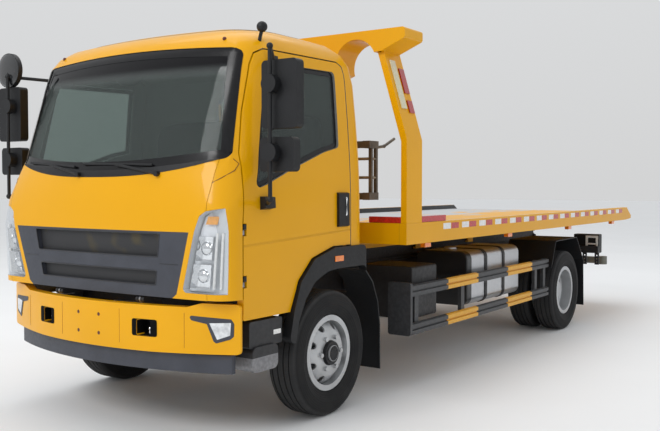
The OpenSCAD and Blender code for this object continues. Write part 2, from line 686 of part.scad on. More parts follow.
module grille() color(slate) place() one_shell() {
    difference() {
        intersection() {
            cab_skin(grille_t);
            along_x(900, 1300) grille_outline();
        }
        along_x(900, 1300) mouth(upper_mouth);
        along_x(900, 1300) mouth(lower_mouth);
    }
    intersection() {
        difference() {
            cab_form(34);
            cab_form(grille_t);
        }
        union() {
            for (k = [-slat_count : slat_count])
                box([900, 1200], [k * slat_pitch - slat_half, k * slat_pitch + slat_half],
                    [lower_mouth[1][1] - 5, lower_mouth[0][1] + 5]);
            for (z = [upper_mouth[1][1] + bar_pitch, upper_mouth[1][1] + 2 * bar_pitch])
                box([900, 1200], [-upper_mouth[0][0], upper_mouth[0][0]], [z - slat_half, z + slat_half]);
        }
    }
}
module headlamps() color(white) place() one_shell() both() intersection() {
    cab_skin(90);
    lamp_block(0);
}
module cab_glass() color(glass) place() {
    one_shell() intersection() {
        difference() {
            cab_form(6);
            cab_form(14);
        }
        along_x(500, 1300) offset(delta = -0.5) screen_outline();
    }
    along_x(-385, -377) offset(delta = -0.5) rear_window_outline();
}

// Wipers
WIPE_PIVOT = 0;
WIPE_Y = 1;
WIPE_Z = 2;
// [pivot, the blade's ends, both as shares of the screen's half width, heights of the blade's ends]
wiper_table = [
    [0.545, [0.492, -0.126], [1636, 1650]],
    [-0.157, [-0.209, -0.796], [1632, 1668]],
];
wiper_pivot_z = 1584;
function on_screen(f, z, off) = let(y = f * screen_half[0]) [cab_front_at(y, z) + off, y, z];
module wiper(w) {
    rod(on_screen(w[WIPE_Y][0], w[WIPE_Z][0], 7), on_screen(w[WIPE_Y][1], w[WIPE_Z][1], 7), 8, $fn = 12);
    rod(on_screen(w[WIPE_PIVOT], wiper_pivot_z, 14),
        on_screen((w[WIPE_Y][0] + w[WIPE_Y][1]) / 2, (w[WIPE_Z][0] + w[WIPE_Z][1]) / 2, 10), 9, $fn = 12);
    rod(on_screen(w[WIPE_PIVOT], wiper_pivot_z, -8), on_screen(w[WIPE_PIVOT], wiper_pivot_z, 24), 16,
        $fn = 16);
}
marker_ball = [592, cab_half - 90, 2466];
module roof_marker() {
    rod(marker_ball - [12, 35, 96], marker_ball - [0, 2, 16], 11, $fn = 24);
    translate(marker_ball) sphere(r = 33, $fn = 32);
}
module cab_trim() color(black) place() one_shell() difference() {
    union() {
        for (w = wiper_table)
            wiper(w);
        roof_marker();
    }
    cab_form(-0.4);
}

// Inside of the cab
module dashboard() color(slate) place() along_y(-cab_half + 110, cab_half - 110) soft(25)
    polygon([[firewall_x[0] - seat_gap, 1180], [firewall_x[0] - seat_gap, 1560], [790, 1572], [720, 1500],
        [600, 1400], [620, 1330], [760, 1180]]);
wheel_root = [660, cab_half - 570, 1450];
column_tilt = -39.8;
module steering_wheel() color(black) place() translate(wheel_root) rotate([0, column_tilt, 0]) {
    translate([0, 0, seat_gap]) cylinder(r = 28, h = 150);
    translate([0, 0, 150]) rotate_extrude($fn = 64) translate([215, 0]) circle(r = 16, $fn = 24);
    for (a = [0, 120, 240])
        rotate([0, 0, a + 30]) translate([0, -16, 143]) cube([212, 32, 14]);
    translate([0, 0, 140]) cylinder(r = 62, h = 26);
}
// Seats, as [y from, y to]
seat_table = [[cab_half - 770, cab_half - 280], [-cab_half + 240, cab_half - 950]];
module seats() color([0.3, 0.3, 0.32]) place() for (s = seat_table) {
    box([-300, 200], [s[0] + 30, s[1] - 30], [floor_z + floor_t + seat_gap, 1290]);
    along_y(s[0], s[1]) soft(40)
        polygon([[-340, 1270], [230, 1290], [230, 1400], [-190, 1390], [-235, 2010], [-345, 2010]]);
}
module arch_flares() color(black) place() both() along_y(cab_half - 38, cab_half + 22) difference() {
    arch_outline();
    arch_mouth();
}
// Hinges of the doors and of the cab
hinge_x = 868;
hinge_y = cab_half - 8;
hinge_zs = [930, 1230];
hinge_pin_r = 4.5;
pocket_x = 848;
pocket_y = cab_half - 28;
module hinge_pocket(z) box([pocket_x, 900], [pocket_y, cab_half + 20], [z - 6, z + 66]);
module cab_hinges() color(steel) place() both() {
    for (z = hinge_zs) {
        box([hinge_x, door_front + door_gap - seat_gap], [hinge_y - 6, hinge_y + 6], [z, z + 24]);
        rod_z(hinge_x, hinge_y, 6, z, z + 24);
        rod_z(hinge_x, hinge_y, hinge_pin_r, z + 23, z + 58);
    }
    cab_lug();
}
module cab_lug() along_y(cab_lug_y[0], cab_lug_y[1]) difference() {
    union() {
        polygon([[cab_pivot_x, cab_pivot_z - cab_lug_r], [cab_pivot_x, cab_pivot_z + cab_lug_r],
            [985, cab_pivot_z + cab_lug_r], [925, floor_z - seat_gap], [840, floor_z - seat_gap],
            [930, cab_pivot_z - cab_lug_r]]);
        translate([cab_pivot_x, cab_pivot_z]) circle(r = cab_lug_r);
    }
    translate([cab_pivot_x, cab_pivot_z]) circle(r = cab_pin_r + 0.1);
}

// Doors
module door() one_shell() difference() {
    intersection() {
        cab_skin(wall);
        through_door() difference() {
            door_outline();
            offset(delta = door_gap) arch_outline();
        }
    }
    through_door() door_window_outline();
    for (z = hinge_zs)
        hinge_pocket(z);
}
module door_left() color(yellow) place() door();
module door_right() color(yellow) place() side(-1) door();
module door_pane() one_shell() intersection() {
    difference() {
        cab_form(18);
        cab_form(26);
    }
    through_door() offset(delta = -0.5) door_window_outline();
}
module door_glass_left() color(glass) place() door_pane();
module door_glass_right() color(glass) place() side(-1) door_pane();

// Mirrors
HEAD_Z = 0;
HEAD_OUT = 1;
HEAD_CLAMP = 2;
// [from and to in height, from and to outside the cab's side, height of the clamp]
mirror_heads = [
    [[1836, 2224], [73, 326], 2085],
    [[1592, 1788], [60, 300], 1700],
];
mirror_x = [735, 800];
pole = [838, cab_half + 165];
pole_z = [1436, 2296];
module mirror_head(m) {
    along_x(mirror_x[0], mirror_x[1]) soft(28) translate([cab_half + m[HEAD_OUT][0], m[HEAD_Z][0]])
        square([m[HEAD_OUT][1] - m[HEAD_OUT][0], m[HEAD_Z][1] - m[HEAD_Z][0]]);
    rod_x(pole[1], m[HEAD_CLAMP], 52, mirror_x[1] - 1, pole[0] + 18);
}
function on_side(z) = [cab_side_y(z) + seat_gap, z];
module fitting() {
    for (m = mirror_heads)
        mirror_head(m);
    rod_z(pole[0], pole[1], 12, pole_z[0], pole_z[1]);
    rod([pole[0], pole[1], pole_z[0]], [690, cab_half + 28, 1408], 14);
    knob([pole[0], pole[1], pole_z[0]], 20);
    knob([pole[0], pole[1], pole_z[1]], 19);
    rod([pole[0], pole[1], pole_z[1]], [535, cab_side_y(2275) + 12, 2275], 12);
    along_x(505, 560) polygon([on_side(2250), on_side(2300), [cab_side_y(2300) + 26, 2296],
        [cab_side_y(2250) + 26, 2254]]);
    along_x(628, 724) polygon([on_side(1372), on_side(1420), on_side(1450), [cab_half + 38, 1446],
        [cab_half + 42, 1382]]);
    along_x(-204, -78) polygon([on_side(1238), on_side(1340), on_side(1420), on_side(1468),
        [cab_half + 18, 1462], [cab_half + 20, 1246]]);
    for (z = hinge_zs)
        difference() {
            box([pocket_x + seat_gap, door_front], [pocket_y + seat_gap, cab_half], [z + 30, z + 60]);
            rod_z(hinge_x, hinge_y, hinge_pin_r + 0.1, z, z + 80);
        }
}
module door_fittings_left() color(black) place() fitting();
round_mirror = [800, -cab_half - 196, 2346];
module door_fittings_right() color(black) place() {
    side(-1) fitting();
    rod(round_mirror + [10, 0, -10], [pole[0], -pole[1], pole_z[1]], 10);
    rod_x(round_mirror[1], round_mirror[2], 124, round_mirror[0] - 22, round_mirror[0] + 12);
}

// Tilting frame with its two rails, cross tubes and rear pivot
sub_x = [pivot_x, -1000];
sub_z = [pivot_z - pivot_lug_r, frame_z + 125];
sub_y = [rail_y - 65, rail_y - 5];
sub_flange = 15;
sub_lug_t = 40;
lug_half = 14;
module tilt_frame() color(black) place() difference() {
    union() {
        both() {
            along_x(sub_x[0], sub_x[1]) {
                translate([sub_y[0], sub_z[1] - sub_flange]) square([sub_y[1] - sub_y[0], sub_flange]);
                translate([sub_y[0], sub_z[0]]) square([sub_y[1] - sub_y[0], sub_flange]);
                translate([sub_y[0] + 20, sub_z[0]]) square([20, sub_z[1] - sub_z[0]]);
            }
            box([sub_x[0], sub_x[0] + 120], [sub_y[0], sub_y[0] + sub_lug_t], sub_z);
            rod_y(pivot_x, pivot_z, pivot_lug_r, sub_y[0], sub_y[0] + sub_lug_t);
            for (x = [sub_x[1] - 60, (sub_x[0] + sub_x[1]) / 2, sub_x[0] + 260])
                box([x - 40, x + 40], [sub_y[0] + 5, sub_y[1] - 5], [frame_z + slide_gap, sub_z[0] + 1]);
            for (y = [cylinder_y - 25 - lug_half - 6, cylinder_y + 25 + 6])
                eye_plate(y);
        }
        for (x = [sub_x[1] - 60, cylinder_eye[0] + 130, rear_x + 300, pivot_x + 330])
            box([x - 30, x + 30], [-sub_y[0] - 10, sub_y[0] + 10], [sub_z[0] + 35, sub_z[1] - 12]);
    }
    both() rod_y(pivot_x, pivot_z, pivot_pin_r + 0.1, sub_y[0] - 10, sub_y[1] + 10);
}
module eye_plate(y) box([cylinder_eye[0] - 40, cylinder_eye[0] + 135], [y, y + lug_half],
    [cylinder_eye[1] - 40, sub_z[1] - 12]);

// Tilt cylinders, drawn along their own axis from the base pin
cylinder_run = cylinder_eye - cylinder_base;
cylinder_l = norm(cylinder_run);
cylinder_a = atan2(cylinder_run[1], cylinder_run[0]);
barrel_r = 46;
rod_r = 28;
module on_cylinder(y) translate([cylinder_base[0], y, cylinder_base[1]])
    rotate([0, -cylinder_a, 0]) children();
module tilt_barrels() color(black) place() for (y = [-cylinder_y, cylinder_y]) on_cylinder(y) difference() {
    union() {
        rod_y(0, 0, 44, -25, 25);
        rod_x(0, 0, barrel_r, 30, cylinder_l - 170);
    }
    rod_y(0, 0, cylinder_pin_r + 0.1, -40, 40);
    rod_x(0, 0, rod_r + 0.2, 120, cylinder_l);
}
module tilt_rods() color(steel) place() for (y = [-cylinder_y, cylinder_y]) on_cylinder(y) difference() {
    union() {
        rod_x(0, 0, rod_r, 130, cylinder_l - 30);
        rod_y(cylinder_l, 0, 38, -25, 25);
    }
    rod_y(cylinder_l, 0, cylinder_pin_r, -40, 40);
}

// Bed: deck on cross members and two sliding beams
bed_half = bed_w / 2;
bed_front = -690;
bed_rail_t = 60;
inner_half = bed_half - bed_rail_t;
bed_top = 1243;
bed_low = bed_top - bed_rail_h;
deck_z = 1190;
deck_t = 8;
beam_z = [sub_z[1] + slide_gap, 1122];
tail_bevel = 190;
cross_pitch = 560;
cross_count = floor((bed_front - 200 - tail_x - tail_bevel) / cross_pitch);
clip_xs = [-1250, -2350, -3450];
module bed_deck() color(yellow) place() {
    span = [-inner_half + seat_gap, inner_half - seat_gap];
    box([tail_x + tail_bevel + 20, bed_front - 50 - seat_gap], span, [deck_z - deck_t, deck_z]);
    for (k = [0 : cross_count])
        translate([bed_front - 160 - k * cross_pitch, 0, 0])
            box([-30, 30], span, [beam_z[1] - 1, deck_z - deck_t + 1]);
    both() {
        box([tail_x + tail_bevel + 60, bed_front - 120], sub_y, beam_z);
        for (x = clip_xs)
            along_x(x - 60, x + 60) {
                translate([sub_y[1] + 5, sub_z[1] - 50]) square([12, beam_z[1] - sub_z[1] + 50]);
                translate([sub_y[1] - 1, sub_z[1] + 25]) square([10, 60]);
                translate([sub_y[1] - 13, sub_z[1] - 50]) square([25, 15]);
            }
    }
}
tail_lip = [bed_top - 141, bed_top - 105];
tail_plate_x = tail_x + tail_bevel + 20 - seat_gap;
// Tabs of the side markers, as shares of the bed's length from its front
marker_shares = [0.06, 0.33, 0.607, 0.874];
module bed_rails() color(yellow) place() {
    both() along_y(inner_half, bed_half) polygon([[bed_front, bed_low], [bed_front, bed_top],
        [tail_x + tail_bevel, bed_top], [tail_x, tail_lip[1]], [tail_x, tail_lip[0]],
        [tail_x + tail_bevel + 50, bed_low]]);
    box([bed_front - 50, bed_front], [-inner_half - 1, inner_half + 1], [bed_low, bed_top]);
    along_y(-inner_half - 1, inner_half + 1) polygon([[tail_plate_x, deck_z], [tail_x, tail_lip[1]],
        [tail_x, tail_lip[0]], [tail_plate_x, bed_low + 5]]);
    for (f = marker_shares)
        translate([bed_front + f * (tail_x - bed_front), 0, 0])
            both() box([-45, 45], [bed_half - 50, bed_half - 12], [bed_low - 34, bed_low + 1]);
}

// Gantry: a portal with leaning posts, and round reliefs beside the top panel
post_front = bed_front;
post_x = [post_front - 228, post_front];
beam_x = [post_front - 230, post_front + 34];
post_t = 47;
bend_z = bed_top + 600;
gantry_top = bed_top + gantry_h;
shoulder = [bed_half - 196, gantry_top - 156];
relief = [808, gantry_top - 232];
relief_r = 176;
module post_outline() polygon([[bed_half, bed_top + seat_gap], [bed_half, bend_z], shoulder + [0, 20],
    shoulder + [-post_t - 6, 20], [bed_half - post_t, bend_z - 16],
    [bed_half - post_t, bed_top + seat_gap]]);
module hood_outline() difference() {
    soft(22) polygon([[-bed_half, gantry_top], [-bed_half, gantry_top - 76], [-shoulder[0], shoulder[1]],
        [-shoulder[0] + post_t, shoulder[1]], [-600, shoulder[1] - 140], [600, shoulder[1] - 140],
        [shoulder[0] - post_t, shoulder[1]], shoulder, [bed_half, gantry_top - 76], [bed_half, gantry_top]]);
    for (s = [-1, 1])
        translate([s * relief[0], relief[1]]) circle(r = relief_r);
}
module gantry() color(yellow) place() {
    both() along_x(post_x[0], post_x[1]) post_outline();
    along_x(beam_x[0], beam_x[1]) hood_outline();
}
function lean(f) = [bed_half, bend_z] + (shoulder + [0, 20] - [bed_half, bend_z]) * f;
strip_w = 70;
// Lamp strips, as [from and to along the leaning post, distance behind its front]
lamp_strips = [[0.34, 0.88, 40], [0.30, 0.44, 140], [0.52, 0.80, 140]];
module gantry_lamps() color(white) place() both() for (s = lamp_strips)
    along_x(post_front - s[2] - strip_w, post_front - s[2]) polygon([lean(s[0]) + [seat_gap, 0],
        lean(s[1]) + [seat_gap, 0], lean(s[1]) + [10, 2], lean(s[0]) + [10, 2]]);

// Rack behind the cab, and winch
rack_zs = [1410, 1790];
module headboard_rack() color(steel) place() {
    both() {
        box([bed_front - 46, bed_front - 4], [600, 645], [bed_top + seat_gap, 1840]);
        for (x = [bed_front - 130, bed_front - 60])
            box([x, x + 22], [880, 905], [rack_zs[0] + 40, rack_zs[1] + 10]);
        rod([bed_front - 118, 892, rack_zs[1] + 5], [bed_front - 240, 892, rack_zs[1] + 20], 11);
        rod([bed_front - 240, 892, rack_zs[1] + 20], [bed_front - 390, 892, rack_zs[1] + 82], 11);
        knob([bed_front - 240, 892, rack_zs[1] + 20], 14);
        for (z = rack_zs)
            box([bed_front - 132, bed_front - 4], [850, 910], [z - 2, z + 52]);
    }
    for (z = rack_zs)
        box([bed_front - 46, bed_front - 5], [-905, 905], [z, z + 50]);
}
winch_x = -1010;
winch_z = deck_z + 150;
module winch() color(slate) place() {
    box([winch_x - 170, winch_x + 170], [-280, 280], [deck_z + seat_gap, deck_z + 14]);
    both() along_y(215, 235) union() {
        translate([winch_x, winch_z]) circle(r = 125);
        translate([winch_x - 150, deck_z + 13]) square([300, 60]);
        translate([winch_x - 125, deck_z + 40]) square([250, 110]);
    }
    rod_y(winch_x, winch_z, 92, -216, 216);
    rod_y(winch_x, winch_z, 78, 234, 370);
}

// Wheel lift: boom, slider and crossbar
boom_x = [lift_x - 950, lift_x];
boom_z = [lift_z - 68, lift_z + 60];
boom_t = 10;
crossbar_x = tail_x + 70;
slider_rear = crossbar_x + 95;
crossbar_z = [lift_z - 46, lift_z + 36];
swivel_r = 26;
module lift_boom() color(slate) place() difference() {
    union() {
        box(boom_x, [-lift_half, lift_half], boom_z);
        rod_y(lift_x, lift_z - 4, 64, -lift_half, lift_half);
    }
    box([boom_x[0] - 10, lift_x - 90], [-lift_half + boom_t, lift_half - boom_t],
        [boom_z[0] + boom_t, boom_z[1] - boom_t]);
    rod_y(lift_x, lift_z, lift_pin_r + 0.1, -lift_half - 10, lift_half + 10);
}
module lift_slider() color(slate) place() {
    box([slider_rear, lift_x - 100], [-lift_half + boom_t + slide_gap, lift_half - boom_t - slide_gap],
        [boom_z[0] + boom_t + slide_gap, boom_z[1] - boom_t - slide_gap]);
    for (z = [[boom_z[0] - 2, crossbar_z[0] - 6], [crossbar_z[1] + 6, boom_z[1] + 2]])
        box([crossbar_x - 40, slider_rear + 60], [-60, 60], z);
    rod_z(crossbar_x, 0, swivel_r, boom_z[0] - 2, boom_z[1] + 2);
}
module lift_crossbar() color([0.45, 0.43, 0.33]) place() difference() {
    union() {
        box([crossbar_x - 45, crossbar_x + 45], [-crossbar_l / 2 + 60, crossbar_l / 2 - 60], crossbar_z);
        both() rod_z(crossbar_x, crossbar_l / 2 - 60, 58, crossbar_z[0] - 10, crossbar_z[1] + 10);
    }
    rod_z(crossbar_x, 0, swivel_r + 0.1, crossbar_z[0] - 20, crossbar_z[1] + 20);
    both() rod_z(crossbar_x, crossbar_l / 2 - 60, socket_r, crossbar_z[0] - 30, crossbar_z[1] + 30);
}

chassis_frame();
front_axle();
rear_axle();
leaf_springs();
engine_block();
driveline();
radiator();
fuel_tank();
tank_straps();
side_boxes();
side_guards();
bumper();
bumper_valance();
fog_lamps();
entry_steps();
front_mudguards();
rear_fenders();
rear_carrier();
rear_lamps();
cab_shell();
front_panel();
grille();
headlamps();
cab_glass();
cab_trim();
dashboard();
steering_wheel();
seats();
arch_flares();
cab_hinges();
door_left();
door_right();
door_glass_left();
door_glass_right();
door_fittings_left();
door_fittings_right();
knuckle_left();
knuckle_right();
front_wheel_left();
front_wheel_right();
front_tyre_left();
front_tyre_right();
rear_wheels_left();
rear_wheels_right();
rear_tyres_left();
rear_tyres_right();
tilt_frame();
tilt_barrels();
tilt_rods();
bed_deck();
bed_rails();
gantry();
gantry_lamps();
headboard_rack();
winch();
lift_boom();
lift_slider();
lift_crossbar();
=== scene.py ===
"""Looks of the flatbed tow truck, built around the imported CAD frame. Metres, +X forward, +Y left, +Z up."""
import json
import math

import bmesh
import bpy
from mathutils import Matrix, Vector


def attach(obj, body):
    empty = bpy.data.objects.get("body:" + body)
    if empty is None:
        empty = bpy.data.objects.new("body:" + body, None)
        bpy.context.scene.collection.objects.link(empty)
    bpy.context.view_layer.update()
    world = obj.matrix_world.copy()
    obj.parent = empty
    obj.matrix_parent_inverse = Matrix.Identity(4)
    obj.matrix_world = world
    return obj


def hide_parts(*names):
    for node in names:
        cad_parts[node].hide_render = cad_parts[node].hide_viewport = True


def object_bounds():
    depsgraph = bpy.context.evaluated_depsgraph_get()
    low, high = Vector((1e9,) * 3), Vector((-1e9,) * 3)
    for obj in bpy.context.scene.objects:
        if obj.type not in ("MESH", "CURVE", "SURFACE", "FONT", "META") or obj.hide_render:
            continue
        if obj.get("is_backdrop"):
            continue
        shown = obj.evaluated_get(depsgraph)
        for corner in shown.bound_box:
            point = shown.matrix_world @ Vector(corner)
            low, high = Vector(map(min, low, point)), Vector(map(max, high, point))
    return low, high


AXLE = 2.67  # row x of the front axle; positions below are measured from it
REAR_AXLE = -4.2
WHEEL_Z = 0.412
SIDES = ((1, "left"), (-1, "right"))

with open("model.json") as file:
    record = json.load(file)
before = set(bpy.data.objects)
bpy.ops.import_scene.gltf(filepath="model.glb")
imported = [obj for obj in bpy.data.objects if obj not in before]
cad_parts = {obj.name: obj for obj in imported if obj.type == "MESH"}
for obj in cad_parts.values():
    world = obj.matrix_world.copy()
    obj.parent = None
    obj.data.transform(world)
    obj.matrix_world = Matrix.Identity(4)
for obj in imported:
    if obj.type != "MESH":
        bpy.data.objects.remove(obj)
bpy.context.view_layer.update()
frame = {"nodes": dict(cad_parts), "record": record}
NODES = frame["nodes"]


# Materials
NOISE_SPAN = (0.3, 0.7)  # most values of a noise texture lie in here
SPECK_SPAN = (0.35, 0.7)
MIX_A, MIX_B, MIX_OUT = 6, 7, 2  # colour sockets of a mix node
LOOKS = {}  # materials by name


def link(tree, a, b):
    tree.links.new(a, b)


class Mat:
    """A procedural material under construction, in coordinates of the row frame at rest."""

    def __init__(self, name, color=(0.5, 0.5, 0.5), rough=0.5, metal=0.0, **sockets):
        self.m = LOOKS[name] = bpy.data.materials.new(name)
        self.m.use_nodes = True
        self.t = self.m.node_tree
        self.bsdf = self.t.nodes["Principled BSDF"]
        values = {"Base_Color": (*color, 1.0), "Roughness": rough, "Metallic": metal, **sockets}
        for key, value in values.items():
            self.bsdf.inputs[key.replace("_", " ")].default_value = value
        self.pos = self.node("ShaderNodeTexCoord").outputs["Object"]

    def node(self, kind, **values):
        n = self.t.nodes.new(kind)
        for key, value in values.items():
            setattr(n, key, value)
        return n

    def put(self, node, index, value):
        if isinstance(value, bpy.types.NodeSocket):
            link(self.t, value, node.inputs[index])
        else:
            node.inputs[index].default_value = value

    def run(self, kind, inputs, **values):
        """Adds a node with its first inputs set, and gives its first output."""
        n = self.node(kind, **values)
        for k, v in enumerate(inputs):
            self.put(n, k, v)
        return n.outputs[0]

    def math(self, op, a, b=0.0):
        return self.run("ShaderNodeMath", (a, b), operation=op)

    def times(self, *values):
        """The product of several values or masks."""
        out = values[0]
        for value in values[1:]:
            out = self.math("MULTIPLY", out, value)
        return out

    def above(self, value, limit):
        return self.math("GREATER_THAN", value, limit)

    def below(self, value, limit):
        return self.math("LESS_THAN", value, limit)

    def axis(self, letter, vector=None):
        n = self.node("ShaderNodeSeparateXYZ")
        link(self.t, vector or self.pos, n.inputs[0])
        return n.outputs["XYZ".index(letter)]

    def normal(self, letter):
        """Part of the surface's own normal along an axis, the same from both of its sides."""
        along = self.axis(letter, self.node("ShaderNodeTexCoord").outputs["Normal"])
        turn = self.ramp(self.node("ShaderNodeNewGeometry").outputs["Backfacing"], 0.0, 1.0, 1.0, -1.0)
        return self.times(along, turn)

    def span(self, value, low, high):
        """1 inside a range, 0 outside."""
        return self.times(self.above(value, low), self.below(value, high))

    def noise(self, scale, detail=4.0, stretch=None):
        n = self.node("ShaderNodeTexNoise")
        n.inputs["Scale"].default_value = scale
        n.inputs["Detail"].default_value = detail
        vector = self.pos
        if stretch:
            m = self.node("ShaderNodeMapping")
            m.inputs["Scale"].default_value = stretch
            link(self.t, vector, m.inputs["Vector"])
            vector = m.outputs[0]
        link(self.t, vector, n.inputs["Vector"])
        return n.outputs["Fac"]

    def ramp(self, fac, low, high, to_low=0.0, to_high=1.0):
        return self.run("ShaderNodeMapRange", (fac, low, high, to_low, to_high))

    def grain(self, noise, low=0.0, high=1.0):
        """A noise spread over a range."""
        return self.ramp(noise, *NOISE_SPAN, low, high)

    def mix(self, fac, a, b):
        n = self.node("ShaderNodeMix", data_type="RGBA")
        self.put(n, 0, fac)
        for k, v in ((MIX_A, a), (MIX_B, b)):
            self.put(n, k, v if isinstance(v, bpy.types.NodeSocket) else (*v, 1.0))
        return n.outputs[MIX_OUT]

    def tones(self, scale, a, b):
        """Two colours mixed by a noise."""
        return self.mix(self.grain(self.noise(scale)), a, b)

    def to(self, socket, value):
        link(self.t, value, self.bsdf.inputs[socket])
        return self

    def color(self, value):
        return self.to("Base Color", value)

    def step(self, value, low, high):
        """A smooth rise from 0 at low to 1 at high."""
        return self.run("ShaderNodeMapRange", (value, low, high), interpolation_type="SMOOTHSTEP")

    def facing(self, centre, limit):
        """1 where the surface is turned towards a centre, as the inside of a shell is."""
        away = self.run("ShaderNodeVectorMath", (self.pos, centre), operation="SUBTRACT")
        unit = self.run("ShaderNodeVectorMath", (away,), operation="NORMALIZE")
        dot = self.node("ShaderNodeVectorMath", operation="DOT_PRODUCT")
        link(self.t, unit, dot.inputs[0])
        link(self.t, self.node("ShaderNodeTexCoord").outputs["Normal"], dot.inputs[1])
        return self.below(dot.outputs["Value"], -limit)

    def bump(self, height, strength, distance=0.002):
        n = self.node("ShaderNodeBump")
        n.inputs["Strength"].default_value = strength
        n.inputs["Distance"].default_value = distance
        link(self.t, height, n.inputs["Height"])
        return self.to("Normal", n.outputs[0])

    def see_through(self, tint, share):
        """Lets a share of the light pass straight on."""
        see = self.node("ShaderNodeBsdfTransparent")
        see.inputs[0].default_value = (*tint, 1.0)
        mixer = self.node("ShaderNodeMixShader")
        self.put(mixer, 0, share)
        link(self.t, self.bsdf.outputs[0], mixer.inputs[1])
        link(self.t, see.outputs[0], mixer.inputs[2])
        link(self.t, mixer.outputs[0], self.t.nodes["Material Output"].inputs[0])


FINER = 7  # roughness varies this much finer than colour


def toned(color, share):
    return tuple(share * c for c in color)


def varied(m, color, scale, depth, rough):
    """Slow variation of colour and roughness over a surface."""
    dark = toned(color, 1 - depth)
    light = tuple(min(1.0, c * (1 + depth)) for c in color)
    m.color(m.tones(scale, dark, light))
    m.to("Roughness", m.grain(m.noise(scale * FINER), *rough))
    return m


def surface(name, color, scale, depth, rough, fine=None, **sockets):
    """A varied material. fine is its bump: scale of the noise, strength and distance."""
    m = varied(Mat(name, **sockets), color, scale, depth, rough)
    if fine:
        m.bump(m.noise(fine[0]), *fine[1:])
    return m.m


YELLOW = (0.8, 0.385, 0.001)
LINING = (0.3, 0.3, 0.29)
PAINT_SCALE = 2.0
BRUSHED = (60, 3, (0.4, 12, 12))


def paint_material(name):
    m = Mat(name, Coat_Weight=0.25, Coat_Roughness=0.04, Specular_IOR_Level=0.15)
    return varied(m, YELLOW, PAINT_SCALE, 0.03, (0.3, 0.38))


CAB_CENTRE = (AXLE + 0.25, 0.0, 1.72)
INSIDE_LIMIT = 0.35
RIM_X, RIM_Z = (AXLE - 0.135, AXLE + 0.765), (1.485, 2.275)  # room around a door's window
RIM_NORMAL_Y = 0.6
RIM_FRONT = (AXLE + 0.4, AXLE + 0.5, 2.0, 0.5)  # faces turned forward stay painted at the front
CREASE_RISE, CREASE_DEPTH = (-0.01, 0.014), 0.012


def lined_paint(name, crease=None):
    """Paint outside and grey lining inside the cab, with a pressed line across a door."""
    m = paint_material(name)
    outside = m.tones(PAINT_SCALE, toned(YELLOW, 0.97), YELLOW)
    inside = m.tones(60, LINING, toned(LINING, 0.8))
    lined = m.facing(CAB_CENTRE, INSIDE_LIMIT)
    if crease:
        rim = m.times(m.below(m.math("ABSOLUTE", m.normal("Y")), RIM_NORMAL_Y),
                      m.below(m.normal("X"), m.ramp(m.axis("X"), *RIM_FRONT)),
                      m.span(m.axis("X"), *RIM_X), m.span(m.axis("Z"), *RIM_Z))
        lined = m.math("MAXIMUM", lined, rim)
    m.color(m.mix(lined, outside, inside))
    if crease:
        place, rise = crease
        line = m.math("ADD", place, m.times(m.math("SUBTRACT", m.axis("X"), AXLE), rise))
        m.bump(m.step(m.math("SUBTRACT", m.axis("Z"), line), *CREASE_RISE), 1.0, CREASE_DEPTH)
    return m.m


paint_material("paint_yellow")
surface("frame_black", (0.018, 0.018, 0.02), 6, 0.25, (0.45, 0.65), (240, 0.15))
surface("cast_iron", (0.05, 0.05, 0.052), 9, 0.3, (0.55, 0.75), (160, 0.4), metal=0.4)
black_plastic = surface("black_plastic", (0.009, 0.0095, 0.011), 8, 0.2, (0.42, 0.55), (420, 0.2, 0.001),
                        Specular_IOR_Level=0.35)
slate_plastic = surface("slate_plastic", (0.05, 0.054, 0.068), 7, 0.12, (0.4, 0.52), (420, 0.12, 0.001),
                        Specular_IOR_Level=0.35)
surface("slate_paint", (0.06, 0.065, 0.072), 5, 0.2, (0.38, 0.55))
aluminium = varied(Mat("aluminium", metal=0.9), (0.56, 0.57, 0.59), 5, 0.1, (0.28, 0.42))
aluminium.bump(aluminium.noise(*BRUSHED), 0.06)
surface("steel", (0.3, 0.3, 0.31), 11, 0.2, (0.3, 0.5), metal=0.85)
surface("wheel_silver", (0.5, 0.51, 0.52), 8, 0.1, (0.3, 0.42), metal=0.55)
surface("tyre", (0.014, 0.014, 0.015), 12, 0.25, (0.62, 0.82), (380, 0.25, 0.001))
lamp_clear = surface("lamp_clear", (0.62, 0.64, 0.66), 30, 0.25, (0.08, 0.2), Coat_Weight=1.0, metal=0.35)
lamp_red = surface("lamp_red", (0.45, 0.006, 0.006), 30, 0.2, (0.12, 0.22), Coat_Weight=1.0)
amber = surface("lamp_amber", (0.85, 0.2, 0.005), 40, 0.2, (0.12, 0.22), Coat_Weight=1.0)
cloth = surface("seat_cloth", (0.06, 0.062, 0.07), 25, 0.25, (0.8, 0.95), (700, 0.5, 0.001))
reflector_red = surface("reflector_red", (0.48, 0.012, 0.015), 60, 0.25, (0.2, 0.3), Coat_Weight=0.5)
reflector_white = surface("reflector_white", (0.8, 0.8, 0.78), 60, 0.12, (0.2, 0.3), Coat_Weight=0.5)
mirror_face = surface("mirror_face", (0.8, 0.82, 0.83), 20, 0.03, (0.02, 0.05), metal=1.0)
chrome = surface("chrome", (0.78, 0.79, 0.8), 25, 0.06, (0.06, 0.14), metal=1.0)
frit = surface("frit", (0.005, 0.005, 0.006), 30, 0.3, (0.16, 0.24), Specular_IOR_Level=0.3)
lift_steel = surface("lift_steel", (0.17, 0.175, 0.15), 7, 0.2, (0.4, 0.55), metal=0.3)
rack_steel = surface("rack_steel", (0.13, 0.11, 0.085), 9, 0.35, (0.4, 0.6), metal=0.5)
rung_steel = surface("rung_steel", (0.3, 0.25, 0.18), 14, 0.3, (0.3, 0.45), metal=0.6)
rope = surface("wire_rope", (0.3, 0.3, 0.3), 40, 0.3, (0.35, 0.5), (600, 0.6), metal=0.8)
gloss_black = surface("gloss_black", (0.016, 0.017, 0.019), 14, 0.2, (0.16, 0.26), Coat_Weight=0.8)
